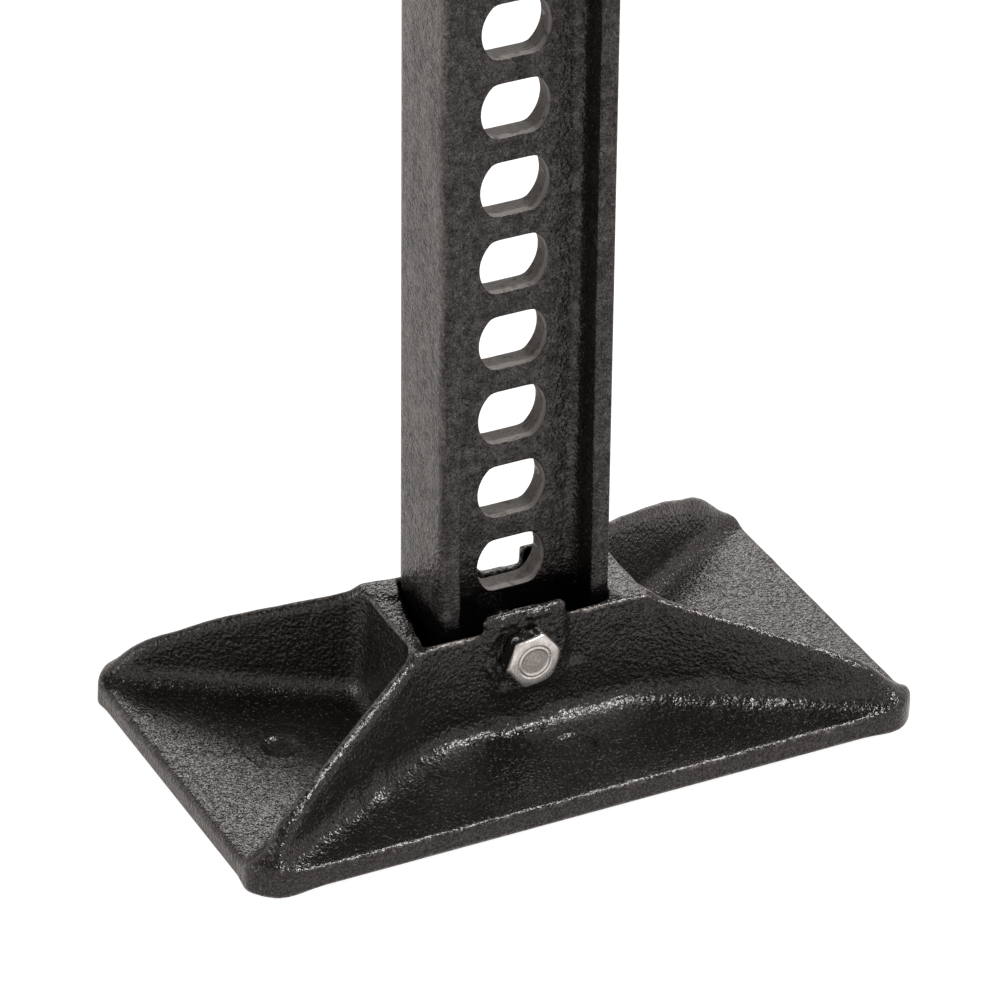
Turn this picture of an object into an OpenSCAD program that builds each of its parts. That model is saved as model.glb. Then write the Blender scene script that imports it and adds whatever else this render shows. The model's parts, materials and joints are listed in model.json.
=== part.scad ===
// Farm jack: cast foot, slotted I-section upright, two climbing runners, lever handle.
// X runs along the foot, the lifting toe points to -X and the handle stands on +X.
// The climbing pins work along Y, through the slots of the upright. Z is up, 0 is the ground.

/* [Foot] */
// Length of the foot plate
base_length = 178; // [170:1:195]
// Width of the foot plate
base_width = 102; // [98:1:112]
// Thickness of the foot plate
base_thickness = 6; // [5:0.5:7]
// Corner radius of the foot plate
base_corner = 9; // [6:0.5:12]
// Height of the socket rim
rim_height = 34; // [32:0.5:37]
// Length of the socket at its rim
rim_length = 62.4; // [60:0.2:66]
// Width of the socket at its rim
rim_width = 32; // [31:0.2:34]
// Thickness of a rib at its ridge
rib_thickness = 3.6; // [3:0.1:6]
// Height of the bolt boss
boss_height = 38; // [36:0.5:40]

/* [Upright] */
// Length of the bar's section, along the foot
bar_size_x = 45; // [44.6:0.1:45.2]
// Width of the bar's section
bar_size_y = 24; // [23.6:0.1:24.2]
// Thickness of each flange
flange_thickness = 5; // [4.5:0.1:6]
// Thickness of the web
web_thickness = 7; // [6:0.1:8]
// Height of the bar's top above the ground
bar_top = 914; // [910:1:920]
// Radius of a slot's round ends
slot_radius = 9; // [8.5:0.1:9.5]
// Height of a slot between its flats
slot_height = 14.2; // [13.4:0.1:15]
// Distance from one slot to the next
pitch = 20.6; // [20.6:0.1:20.8]

/* [Climbing mechanism] */
// Slot the upper climbing pin rests at, counted from the lowest free slot
rest_slot = 17; // [12:1:20]
// Clearance between a runner and the bar, on each side
runner_gap = 0.7; // [0.6:0.1:0.9]
// Diameter of a climbing pin
pin_diameter = 12; // [11:0.5:12]
// Reach of the lifting toe from the bar's axis
toe_reach = 130; // [115:1:140]
// Width of the lifting toe
toe_width = 38; // [34:1:40]
// Swing of the handle for one slot
swing = 80; // [76:1:84]

/* [Handle] */
// Length of the handle from its pivot
handle_length = 680; // [500:10:760]
// Outside diameter of the handle tube
tube_diameter = 32; // [30:0.5:32]
// Wall of the handle tube
tube_wall = 3; // [2:0.5:4]
// Length of the rubber grip
grip_length = 140; // [100:5:160]

/* [Hidden] */
$fn = 64;

// heights above the ground
first_slot_z = 44.3;                              // lowest free slot
upper_pin_z = first_slot_z + rest_slot * pitch;   // at rest
lower_pin_z = upper_pin_z - 2 * pitch;
last_slot = floor((bar_top - 18 - first_slot_z) / pitch);
clamp_bolt_z = first_slot_z + last_slot * pitch;
bar_bottom = 4;                                   // underside of the bar in its socket

foot_bolt_x = -2.4;                               // a little off centre
foot_bolt_z = 26.7;
foot_bolt_radius = 4;
foot_bolt_seat = 17;                              // Y of the socket's bolt faces

clamp_bolt_radius = 5;
clamp_seat = 21;
clamp_flats = 16;

pin_radius = pin_diameter / 2;
shank_radius = 4;                                 // outer part of a climbing pin
cross_pin_y = -39;
bore_half_x = bar_size_x / 2 + runner_gap;
bore_half_y = bar_size_y / 2 + runner_gap;

// heights from here on are taken from the upper climbing pin
pivot_x = 48;                                     // handle pivot
pivot_radius = 6;
pivot_flats = 19;
ear_y = [12.6, 20.5];                             // large runner's ears
crank = pitch / 2 / sin(swing / 2);
crank_x = pivot_x + crank * cos(swing / 2);       // upper pitman pin at rest
crank_z = pitch / 2;
crank_bow = crank * (1 - cos(swing / 2));
link_x = crank_x + crank_bow / 2;                 // lower pitman pin, on the small runner
link_z = crank_z - 55;
link_radius = 4;                                  // both pitman pins
cotter_y = 15;

latch_y = -60;                                    // axis of the latch
latch_z = 18;
latch_swing = 25;
latch_pin_radius = 3;

tube_x = 62;                                      // axis of the handle tube
tube_radius = tube_diameter / 2;
cheek_y = [5.4, 12];                              // handle socket's cheeks
socket_bolt_z = 78;
socket_bolt_radius = 4;
socket_bolt_bore = 4.2;
socket_seat = 22.5;
socket_flats = 13;

// ---------- shared shapes; a range is [from, to] ----------
function span(half, middle = 0) = [middle - half, middle + half];
// outline symmetric about the vertical axis, from half width low at z0 to high at z1
function taper(low, high, z0, z1) = [[-low, z0], [low, z0], [high, z1], [-high, z1]];

// cylinder over the range y, or a cone when end_radius is given
module along_y(x, z, y, radius, end_radius) {
    translate([x, y[0], z]) rotate([-90, 0, 0])
        cylinder(h = y[1] - y[0], r1 = radius, r2 = is_undef(end_radius) ? radius : end_radius);
}
module along_x(y, z, x, radius) {
    translate([x[0], y, z]) rotate([0, 90, 0]) cylinder(h = x[1] - x[0], r = radius);
}
// a profile drawn in x and z, over the range y
module plate_xz(y) {
    translate([0, y[1], 0]) rotate([90, 0, 0]) linear_extrude(y[1] - y[0]) children();
}
// a profile drawn in y and z, over the range x
module plate_yz(x) {
    translate([x[0], 0, 0]) rotate([90, 0, 90]) linear_extrude(x[1] - x[0]) children();
}
module box(x, y, z) {
    translate([x[0], y[0], z[0]]) cube([x[1] - x[0], y[1] - y[0], z[1] - z[0]]);
}
module both_y_sides() {
    for (flip = [1, 0]) mirror([0, flip, 0]) children();
}
module rounded_rect(length, width, radius) {
    square([length - 2 * radius, width], center = true);
    square([length, width - 2 * radius], center = true);
    for (i = [-1, 1], j = [-1, 1])
        translate([i * (length / 2 - radius), j * (width / 2 - radius)]) circle(radius);
}
// a hexagon prism with its corners turned off on one face; flats is the size across flats
module hex_prism(flats, height) {
    face_radius = flats * 0.475;
    intersection() {
        rotate([0, 0, 30]) cylinder(h = height, r = flats / 2 / cos(30), $fn = 6);
        cylinder(h = height, r1 = face_radius + height, r2 = face_radius);
    }
}
// hex bolt along +Y: seat is the face under its head
module hex_bolt(x, z, seat, tip, radius, flats, head, turn) {
    chamfer = 0.8;
    along_y(x, z, [seat - 0.2, tip - chamfer], radius);
    along_y(x, z, [tip - chamfer, tip], radius, radius - chamfer);
    translate([x, seat, z]) rotate([90, turn, 0]) hex_prism(flats, head);
}
// nut for a bolt of the given radius, standing on the face at seat
module hex_nut(x, z, seat, height, radius, flats) {
    difference() {
        translate([x, seat, z]) rotate([-90, 0, 0]) hex_prism(flats, height);
        along_y(x, z, [seat - 1, seat + height + 1], radius + 0.02);
    }
}
// round wire wound along Z, with a straight tail at each end
module coil(radius, wire_radius, turns, height, start_tail = 0, end_tail = 0, per_turn = 20) {
    sides = 8;
    steps = turns * per_turn;
    last = steps + 2;
    function fraction(i) = min(max(i - 1, 0), steps) / steps;
    function shift(i) =
        i == 0 ? -max(start_tail, 0.3) : i == last ? max(end_tail, 0.3) : 0;
    points = [for (i = [0 : last], k = [0 : sides - 1])
        let (turn = 360 * turns * fraction(i), around = 360 * k / sides,
            reach = radius + wire_radius * cos(around))
        [reach * cos(turn) - shift(i) * sin(turn),
            reach * sin(turn) + shift(i) * cos(turn),
            height * fraction(i) + wire_radius * sin(around)]];
    side_faces = [for (i = [0 : last - 1], k = [0 : sides - 1])
        let (a = i * sides + k, b = i * sides + (k + 1) % sides)
        [a, b, b + sides, a + sides]];
    start_face = [for (k = [sides - 1 : -1 : 0]) k];
    end_face = [for (k = [0 : sides - 1]) last * sides + k];
    polyhedron(points, concat(side_faces, [start_face], [end_face]), convexity = 10);
}

// ---------- foot ----------
// a rib's ridge: [fraction of its length, fraction of the rim height]
rib_ridge = [[0.1, 0.9], [0.24, 0.82], [0.45, 0.71], [0.66, 0.6], [0.79, 0.515],
    [0.93, 0.41], [0.985, 0.31], [1, 0.2]];

module socket_body() {
    half_length = rim_length / 2;
    half_width = rim_width / 2;
    intersection() {
        plate_xz(span(25)) polygon(taper(half_length + 3.3, half_length, 1, rim_height));
        plate_yz(span(40)) polygon(taper(half_width + 2, half_width, 1, rim_height));
    }
}
// one diagonal rib, drawn along its own length from the rim's corner outwards
module rib() {
    run_x = base_length / 2 - 5 - rim_length / 2;
    run_y = base_width / 2 - 4.5 - rim_width / 2;
    length = sqrt(run_x * run_x + run_y * run_y);
    root = -9;                     // where it starts, inside the socket
    translate([rim_length / 2, rim_width / 2, 0]) rotate([0, 0, atan2(run_y, run_x)])
    intersection() {
        plate_xz(span(8)) polygon(concat(
            [[root, 1], [root, rim_height - 1], [0, rim_height - 1]],
            [for (point = rib_ridge) [length * point[0], rim_height * point[1]]],
            [[length, 1]]));
        plate_yz([-10, length + 2]) polygon(taper(5.2, rib_thickness / 2, 0, rim_height));
    }
}
module base_casting() {
    boss_x = span(10.9, foot_bolt_x);
    boss_bottom = 14;
    back_top = rim_height - 2.4;   // +Y wall at the bolt
    cut_top = boss_height + 5;
    color([0.1, 0.1, 0.1]) difference() {
        union() {
            linear_extrude(base_thickness) rounded_rect(base_length, base_width, base_corner);
            socket_body();
            for (i = [0, 1], j = [0, 1]) mirror([i, 0, 0]) mirror([0, j, 0]) rib();
            box(boss_x, [-foot_bolt_seat, -13], [boss_bottom, boss_height]);
            box(boss_x, [13, foot_bolt_seat], [boss_bottom, back_top]);
        }
        box([-bar_size_x / 2 - 3, bar_size_x / 2 + 1], span(bar_size_y / 2 + 1.5),
            [bar_bottom, cut_top]);
        // the +Y wall is lower at the bolt, and tapped for it
        box(span(14.2, foot_bolt_x), [10, 24], [back_top, cut_top]);
        along_y(foot_bolt_x, foot_bolt_z, [-30, 10], foot_bolt_radius + 0.3);
        along_y(foot_bolt_x, foot_bolt_z, [9, 30], foot_bolt_radius + 0.05);
    }
}
module base_bolt() {
    color("silver") hex_bolt(foot_bolt_x, foot_bolt_z, seat = -foot_bolt_seat,
        tip = foot_bolt_seat + 1, radius = foot_bolt_radius, flats = 13, head = 5, turn = 11.5);
}

// ---------- upright ----------
module bar_section() {
    recess_width = 20;
    difference() {
        rounded_rect(bar_size_x, bar_size_y, 1.5);
        for (side = [-1, 1]) translate([0, side * (web_thickness + recess_width) / 2])
            rounded_rect(bar_size_x - 2 * flange_thickness, recess_width, 3.2);
    }
}
module slot_shape() {
    intersection() {
        circle(slot_radius);
        square([3 * slot_radius, slot_height], center = true);
    }
}
module rack_bar() {
    color([0.12, 0.12, 0.12]) difference() {
        translate([0, 0, bar_bottom]) linear_extrude(bar_top - bar_bottom) bar_section();
        for (i = [-1 : last_slot])
            translate([0, 0, first_slot_z + i * pitch]) plate_xz(span(6)) slot_shape();
    }
}
module top_clamp() {
    cap_top = bar_top + 14;
    eye_z = bar_top + 36;
    eye_radius = 15;
    color([0.1, 0.1, 0.1]) difference() {
        union() {
            box(span(24), span(19), [clamp_bolt_z - 22, cap_top]);
            plate_xz(span(9)) polygon(taper(22, eye_radius, cap_top - 1, eye_z));
            along_y(0, eye_z, span(9), eye_radius);
            both_y_sides() along_y(0, clamp_bolt_z, [18, clamp_seat], 12);
        }
        box(span(30), span(bar_size_y / 2 + 0.5), [clamp_bolt_z - 30, bar_top + 0.5]);
        along_y(0, clamp_bolt_z, span(30), clamp_bolt_radius + 0.3);
        along_y(0, eye_z, span(20), 8);
    }
}
module top_clamp_bolt() {
    color("silver") hex_bolt(0, clamp_bolt_z, seat = -clamp_seat, tip = 32,
        radius = clamp_bolt_radius, flats = clamp_flats, head = 6.4, turn = 10);
}
module top_clamp_nut() {
    color("silver") hex_nut(0, clamp_bolt_z, seat = clamp_seat, height = 8.4,
        radius = clamp_bolt_radius, flats = clamp_flats);
}

// ---------- climbing pins, alike on both runners; z is the pin's own height ----------
// cage on a runner's -Y side, about the pin's axis
module cage() {
    outer_y = -64;
    height = span(13);
    for (side = [-1, 1]) translate([side * 15.75, 0, 0]) difference() {
        box(span(2.25), [outer_y, -18], height);
        // slot for the cross pin
        box(span(5), [-41.6, -24.4], span(2.4));
    }
    box(span(18), [outer_y, -58], height);
    along_y(0, 0, [-24, -18], pin_radius + 5);
}
module cage_bores() {
    along_y(0, 0, [-30, 0], pin_radius + 0.05);
    along_y(0, 0, [-70, -50], shank_radius + 0.05);
}
module climbing_pin(z) {
    nose_y = -7;
    step_y = -42;
    end_y = -76;
    color([0.55, 0.55, 0.55]) difference() {
        union() {
            along_y(0, z, [step_y, nose_y], pin_radius);
            along_y(0, z, [nose_y, nose_y + 2], pin_radius, pin_radius - 2);
            along_y(0, z, [end_y, step_y], shank_radius);
            along_y(0, z, [end_y - 1, end_y], shank_radius - 1, shank_radius);
        }
        along_x(cross_pin_y, z, span(20), 2);
    }
}
module cross_pin(z, half_length) {
    color("silver") along_x(cross_pin_y, z, span(half_length), 1.98);
}
module pin_spring(z) {
    color([0.5, 0.5, 0.5]) translate([0, -57, z]) rotate([-90, 0, 0])
        coil(radius = 5.6, wire_radius = 0.9, turns = 5, height = 14);
}

// ---------- large runner ----------
module lifting_toe(top) {
    root = -40;
    tip = -toe_reach;
    half_width = toe_width / 2;
    // side view in x and z, with a lip at the tip
    side_view = [[root, top], [tip + 7, top], [tip + 4, top + 5], [tip, top + 5],
        [tip, top - 6], [tip + 5, top - 9], [-60, top - 13], [root, top - 14]];
    // plan in x and y
    plan = [[root, -half_width], [root, half_width],
        [tip + 6, half_width - 2], [tip, half_width - 7],
        [tip, -half_width + 7], [tip + 6, -half_width + 2]];
    intersection() {
        plate_xz(span(25)) polygon(side_view);
        linear_extrude(300, center = true) polygon(plan);
    }
}
module large_runner() {
    toe_top = -88;
    bottom = -126;
    toe_side = -44;
    root = -40;                    // where toe and gussets enter the column
    color([0.11, 0.11, 0.11]) translate([0, 0, upper_pin_z]) difference() {
        union() {
            // upper sleeve, column and lower sleeve
            box([toe_side, 30.5], span(21), [-20, 34]);
            box([toe_side, -31], span(14), [bottom, -10]);
            box([toe_side, 30], span(19), [bottom, -98]);
            lifting_toe(toe_top);
            // gussets below and above the toe
            plate_xz(span(6)) polygon([[root, toe_top - 8], [root, bottom], [-52, bottom],
                [-toe_reach + 16, toe_top - 8]]);
            plate_xz(span(14)) polygon([[root, toe_top - 2], [-57, toe_top - 2],
                [-50, toe_top + 8], [toe_side, toe_top + 26], [root, toe_top + 26]]);
            // ears for the handle's pivot
            both_y_sides() {
                plate_xz(ear_y) polygon([[27, -20], [27, 20],
                    [pivot_x + 2, 12.5], [pivot_x + 2, -12.5]]);
                along_y(pivot_x, 0, ear_y, 13);
            }
            cage();
            // boss for the latch's pin
            along_x(latch_y, latch_z, span(18), 6);
            box(span(18), [latch_y - 4, latch_y + 2], [5, latch_z]);
        }
        box(span(bore_half_x), span(bore_half_y), [-200, 100]);
        cage_bores();
        along_y(pivot_x, 0, span(30), pivot_radius + 0.03);
        along_x(latch_y, latch_z, span(30), latch_pin_radius + 0.03);
        // window through both Y walls, above the pin
        plate_xz(span(40)) translate([0, 23.5]) square([26, 9], center = true);
    }
}
module handle_pivot_bolt() {
    color("silver") hex_bolt(pivot_x, upper_pin_z, seat = -ear_y[1], tip = 33,
        radius = pivot_radius, flats = pivot_flats, head = 7.5, turn = 5);
}
module handle_pivot_nut() {
    color("silver") hex_nut(pivot_x, upper_pin_z, seat = ear_y[1], height = 10.4,
        radius = pivot_radius, flats = pivot_flats);
}
module upper_climbing_pin() { climbing_pin(upper_pin_z); }
module upper_cross_pin() { cross_pin(upper_pin_z, 23); }
module upper_pin_spring() { pin_spring(upper_pin_z); }

// ---------- reversing latch ----------
// outlines in y and z
latch_finger = [[latch_y - 4, latch_z - 5], [latch_y - 2, latch_z + 6.8], [-31, 10],
    [-30.5, -1.5], [-36.2, -1.5], [-36.4, 4], [latch_y + 2, latch_z - 7]];
latch_tail = [[latch_y, latch_z - 3], [latch_y, latch_z + 7], [-72, 27.5], [-72, 21.5],
    [-66, 17]];
latch_bridge = [[-68, 27.3], [-76, 29.2], [-76, 24.2], [-68, 22.3]];
latch_tab = [[-75, 29], [-92, 36], [-94, 31.5], [-75, 24]];

// drawn where it holds the pin and turned back to its free place
module reversing_latch() {
    arm_x = 20.7;
    arm_half = 2;
    tab_x = span(11);
    color([0.13, 0.13, 0.13])
    translate([0, latch_y, upper_pin_z + latch_z]) rotate([latch_swing, 0, 0])
    translate([0, -latch_y, -latch_z]) difference() {
        union() {
            for (side = [-1, 1]) translate([side * arm_x, 0, 0]) {
                along_x(latch_y, latch_z, span(arm_half), 7);
                plate_yz(span(arm_half)) polygon(latch_finger);
                plate_yz(span(arm_half)) polygon(latch_tail);
            }
            plate_yz(span(arm_x + arm_half)) polygon(latch_bridge);
            plate_yz(tab_x) polygon(latch_tab);
            along_x(-92.5, 33.8, tab_x, 2.8);
        }
        along_x(latch_y, latch_z, span(40), latch_pin_radius + 0.06);
    }
}
module latch_pin() {
    color("silver") translate([0, 0, upper_pin_z]) {
        along_x(latch_y, latch_z, [-30, 23.4], latch_pin_radius);
        along_x(latch_y, latch_z, [23.2, 25.4], 5);
    }
}
module latch_spring() {
    color([0.5, 0.5, 0.5]) translate([-29.4, latch_y, upper_pin_z + latch_z])
        rotate([90, 0, 90]) rotate([0, 0, 25])
        coil(radius = 4.6, wire_radius = 0.8, turns = 3, height = 5.7,
            start_tail = 9, end_tail = 12, per_turn = 16);
}

// ---------- small runner ----------
module small_runner() {
    ear_z = link_z + upper_pin_z - lower_pin_z;
    link_ear_y = [5.6, 12];
    ear_radius = 9;
    color([0.11, 0.11, 0.11]) translate([0, 0, lower_pin_z]) difference() {
        union() {
            box([-30, 30.5], span(19.5), [-20, 18]);
            cage();
            both_y_sides() {
                plate_xz(link_ear_y) polygon([[27, ear_z - 15], [27, ear_z + 15],
                    [link_x, ear_z + ear_radius], [link_x, ear_z - ear_radius]]);
                along_y(link_x, ear_z, link_ear_y, ear_radius);
            }
        }
        box(span(bore_half_x), span(bore_half_y), span(60));
        cage_bores();
        along_y(link_x, ear_z, span(30), link_radius + 0.03);
    }
}
module lower_climbing_pin() { climbing_pin(lower_pin_z); }
module lower_cross_pin() { cross_pin(lower_pin_z, 21); }
module lower_pin_spring() { pin_spring(lower_pin_z); }

// ---------- pitman ----------
// lower eye's outline or slot, lengthened along X
module long_eye(y, radius) {
    half_slot = 1.7;
    for (side = [-1, 1]) along_y(crank_x + side * half_slot, link_z, y, radius);
    box(span(half_slot, crank_x), y, span(radius, link_z));
}
module pitman() {
    thickness = span(5);
    color([0.13, 0.13, 0.13]) translate([0, 0, upper_pin_z]) difference() {
        union() {
            along_y(crank_x, crank_z, thickness, 8);
            box(span(5, crank_x), thickness, [link_z, crank_z]);
            long_eye(thickness, 8.4);
        }
        along_y(crank_x, crank_z, span(10), link_radius + 0.05);
        long_eye(span(10), link_radius + 0.5);
    }
}
module pitman_upper_pin() {
    color("silver") along_y(crank_x, upper_pin_z + crank_z, span(11.9), link_radius - 0.02);
}
module pitman_lower_pin() {
    z = upper_pin_z + link_z;
    color("silver") difference() {
        union() {
            along_y(link_x, z, [-13, 18], link_radius);
            along_y(link_x, z, [-15.2, -12.1], 6.4);
        }
        translate([link_x, cotter_y, z - 20]) cylinder(h = 40, r = 1.25);
    }
}
// shank, ring, collar and two spread ends
module cotter_pin() {
    color("silver") translate([link_x, cotter_y, upper_pin_z + link_z]) {
        translate([0, 0, -6.5]) cylinder(h = 11.5, r = 1.15);
        translate([0, 0, 7.2]) rotate([90, 0, 0])
            rotate_extrude() translate([2.4, 0]) circle(0.9);
        translate([0, 0, 4]) cylinder(h = 1.4, r = 1.6);
        for (side = [-1, 1]) translate([side * 0.1, 0, -6.3])
            rotate([0, side * 118, 0]) cylinder(h = 4.6, r = 0.8);
    }
}

// ---------- handle ----------
module handle_socket() {
    block_top = 40;
    color([0.11, 0.11, 0.11]) translate([0, 0, upper_pin_z]) difference() {
        union() {
            both_y_sides() {
                along_y(pivot_x, 0, cheek_y, 12);
                along_y(crank_x, crank_z, cheek_y, 9.5);
                plate_xz(cheek_y) polygon([[36.2, 2], [42, block_top], [82, block_top],
                    [69, 6.6], [56, -8.9]]);
            }
            // block that joins the cheeks
            plate_xz(span(cheek_y[1])) polygon([[40, 25], [42, block_top], [82, block_top],
                [76.4, 25]]);
            // barrel and its collar
            translate([tube_x, 0, 33]) cylinder(h = 62, r = 21);
            translate([tube_x, 0, 90]) cylinder(h = 5, r = 22.5);
            both_y_sides() along_y(tube_x, socket_bolt_z, [15, socket_seat], 9);
        }
        translate([tube_x, 0, 38]) cylinder(h = 80, r = tube_radius + 0.05);
        along_y(pivot_x, 0, span(30), pivot_radius + 0.06);
        along_y(crank_x, crank_z, span(30), link_radius);
        along_y(tube_x, socket_bolt_z, span(40), socket_bolt_bore);
    }
}
module handle_tube() {
    bottom = 38.2;
    color([0.12, 0.12, 0.12]) translate([tube_x, 0, upper_pin_z]) difference() {
        translate([0, 0, bottom]) cylinder(h = handle_length - bottom, r = tube_radius);
        translate([0, 0, 30]) cylinder(h = handle_length, r = tube_radius - tube_wall);
        along_y(0, socket_bolt_z, span(40), socket_bolt_bore);
    }
}
module handle_grip() {
    sleeve = grip_length + 2;
    radius = tube_radius + 3;
    color([0.08, 0.08, 0.08])
    translate([tube_x, 0, upper_pin_z + handle_length - grip_length]) difference() {
        union() {
            cylinder(h = sleeve, r = radius);
            cylinder(h = 6, r = tube_radius + 5);
            translate([0, 0, sleeve]) cylinder(h = 2.5, r1 = radius, r2 = tube_radius + 0.5);
        }
        translate([0, 0, -1]) cylinder(h = grip_length + 1.2, r = tube_radius + 0.03);
    }
}
module socket_bolt() {
    color("silver") hex_bolt(tube_x, upper_pin_z + socket_bolt_z, seat = -socket_seat,
        tip = 32, radius = socket_bolt_radius, flats = socket_flats, head = 5.3, turn = 20);
}
module socket_nut() {
    color("silver") hex_nut(tube_x, upper_pin_z + socket_bolt_z, seat = socket_seat,
        height = 6.5, radius = socket_bolt_radius, flats = socket_flats);
}
// spring band round the tube, with two arms that slide over the bar
module handle_keeper() {
    height = 16;
    strip = 2;
    arm_end = 19;
    bead = 1.6;
    arm_y = bar_size_y / 2 + 0.6;
    color([0.45, 0.45, 0.45]) translate([0, 0, upper_pin_z + 98]) difference() {
        union() {
            translate([tube_x, 0, 0]) cylinder(h = height, r = tube_radius + strip);
            both_y_sides() {
                box([arm_end, 50], [arm_y, arm_y + strip], [0, height]);
                translate([arm_end, arm_y + bead, 0]) cylinder(h = height, r = bead);
            }
        }
        translate([tube_x, 0, -1]) cylinder(h = height + 2, r = tube_radius + 0.03);
    }
}

base_casting();
rack_bar();
base_bolt();
top_clamp();
top_clamp_bolt();
top_clamp_nut();
large_runner();
handle_pivot_bolt();
handle_pivot_nut();
upper_climbing_pin();
upper_cross_pin();
upper_pin_spring();
reversing_latch();
latch_pin();
latch_spring();
small_runner();
lower_climbing_pin();
lower_cross_pin();
lower_pin_spring();
pitman();
pitman_upper_pin();
pitman_lower_pin();
cotter_pin();
handle_socket();
handle_tube();
handle_grip();
socket_bolt();
socket_nut();
handle_keeper();
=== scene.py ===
"""A hand-operated climbing jack: a slotted upright on a cast foot, with two runners and a lever.

The upright stands along +Z on the floor at z = 0, centred on x = y = 0. The lever and its
tube are on its right (+X), the large runner's toe is on its left (-X), and the climbing pins'
housings and the foot bolt's head are in front (-Y). Lengths are in millimetres unless a line
says otherwise, and they become metres where a mesh is made.
"""
import json
import math
from functools import cached_property

import bpy
import numpy as np
from mathutils import Matrix, Vector

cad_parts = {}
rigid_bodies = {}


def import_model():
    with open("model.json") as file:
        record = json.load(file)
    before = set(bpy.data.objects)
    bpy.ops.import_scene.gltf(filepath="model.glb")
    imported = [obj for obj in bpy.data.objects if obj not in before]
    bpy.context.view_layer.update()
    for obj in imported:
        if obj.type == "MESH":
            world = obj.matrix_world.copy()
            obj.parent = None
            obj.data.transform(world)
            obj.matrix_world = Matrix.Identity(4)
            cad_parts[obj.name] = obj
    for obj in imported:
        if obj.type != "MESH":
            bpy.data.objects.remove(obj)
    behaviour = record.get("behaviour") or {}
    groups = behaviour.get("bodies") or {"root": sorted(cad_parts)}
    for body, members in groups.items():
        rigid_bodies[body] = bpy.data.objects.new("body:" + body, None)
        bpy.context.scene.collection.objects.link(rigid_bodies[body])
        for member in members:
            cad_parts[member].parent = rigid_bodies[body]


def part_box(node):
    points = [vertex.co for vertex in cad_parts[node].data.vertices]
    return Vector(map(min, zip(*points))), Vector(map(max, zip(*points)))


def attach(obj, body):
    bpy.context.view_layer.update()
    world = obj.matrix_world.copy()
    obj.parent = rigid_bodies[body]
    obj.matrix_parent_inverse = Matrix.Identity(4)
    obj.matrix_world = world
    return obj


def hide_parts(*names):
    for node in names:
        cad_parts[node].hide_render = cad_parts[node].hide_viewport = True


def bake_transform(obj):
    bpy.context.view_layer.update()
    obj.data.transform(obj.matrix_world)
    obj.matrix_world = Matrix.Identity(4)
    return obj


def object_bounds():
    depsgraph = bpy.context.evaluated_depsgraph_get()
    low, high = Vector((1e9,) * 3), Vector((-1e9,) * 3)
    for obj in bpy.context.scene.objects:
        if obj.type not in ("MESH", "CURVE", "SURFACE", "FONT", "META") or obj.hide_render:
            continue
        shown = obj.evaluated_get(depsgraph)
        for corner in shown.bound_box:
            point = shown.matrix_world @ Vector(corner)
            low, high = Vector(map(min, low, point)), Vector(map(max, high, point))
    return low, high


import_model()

CAD_BOX = [list(corner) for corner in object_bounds()]
F32 = np.float32


# ------------------------------------------------------------------ driving dimensions
def middle(node):
    """Centre of a CAD piece's box."""
    return [(low + high) * 500 for low, high in zip(*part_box(node))]


def ends(node, axis):
    """Where a CAD piece starts and stops along an axis."""
    return [corner[axis] * 1000 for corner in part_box(node)]


BOLT_X, _, BOLT_Z = middle("base_bolt")
BOLT_HEAD = 5.0
FACE = ends("base_bolt", 1)[0] + BOLT_HEAD  # y of the boss's face under the foot bolt's head
UPPER_Z = middle("upper_climbing_pin")[2]
LOWER_Z = middle("lower_climbing_pin")[2]
LINK_X, _, LINK_Z = middle("pitman_upper_pin")
LINK_FOOT_X, _, LINK_FOOT_Z = middle("pitman_lower_pin")
PIVOT_X = middle("handle_pivot_nut")[0]
_, LATCH_Y, LATCH_Z = middle("latch_pin")
TUBE_X = middle("handle_tube")[0]
TUBE_BASE, TUBE_TOP = ends("handle_tube", 2)
TUBE_R = 16.0
BAR_X, BAR_Y, BAR_TOP = [ends("rack_bar", axis)[1] for axis in range(3)]
CLAMP_Z = middle("top_clamp_nut")[2]
PITCH = (UPPER_Z - LOWER_Z) / 2  # between the upright's slots


# ------------------------------------------------------------------ signed distances
# at is a list of three coordinate arrays. Distances are negative inside a shape.
def join(first, second, soft):
    """Union, with a fillet of size soft."""
    near = np.maximum(soft - np.abs(first - second), 0) / soft
    return np.minimum(first, second) - near * near * soft * 0.25


def meet(first, second, soft):
    """Intersection, with its edge eased by soft."""
    near = np.maximum(soft - np.abs(first - second), 0) / soft
    return np.maximum(first, second) + near * near * soft * 0.25


class Solid:
    """A distance that pieces are added to, cut from or trimmed by in turn."""

    def __init__(self, distance):
        self.distance = distance

    def add(self, piece, soft):
        self.distance = join(self.distance, piece, soft)

    def cut(self, piece, soft):
        self.distance = meet(self.distance, -piece, soft)

    def trim(self, piece, soft):
        self.distance = meet(self.distance, piece, soft)

    def sink(self, depth):
        self.distance = self.distance + depth


def box(at, lo, hi, r=0.0):
    over = [np.abs(at[i] - (lo[i] + hi[i]) / 2) - ((hi[i] - lo[i]) / 2 - r) for i in range(3)]
    outside = np.sqrt(sum(np.maximum(c, 0) ** 2 for c in over))
    return outside + np.minimum(np.maximum(over[0], np.maximum(over[1], over[2])), 0) - r


def round_rect(x, y, half_x, half_y, r):
    over_x, over_y = np.abs(x) - (half_x - r), np.abs(y) - (half_y - r)
    outside = np.sqrt(np.maximum(over_x, 0) ** 2 + np.maximum(over_y, 0) ** 2)
    return outside + np.minimum(np.maximum(over_x, over_y), 0) - r


def within(value, lo, hi):
    return np.abs(value - (lo + hi) / 2) - (hi - lo) / 2


def across(at, axis):
    return [at[i] for i in range(3) if i != axis]


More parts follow.
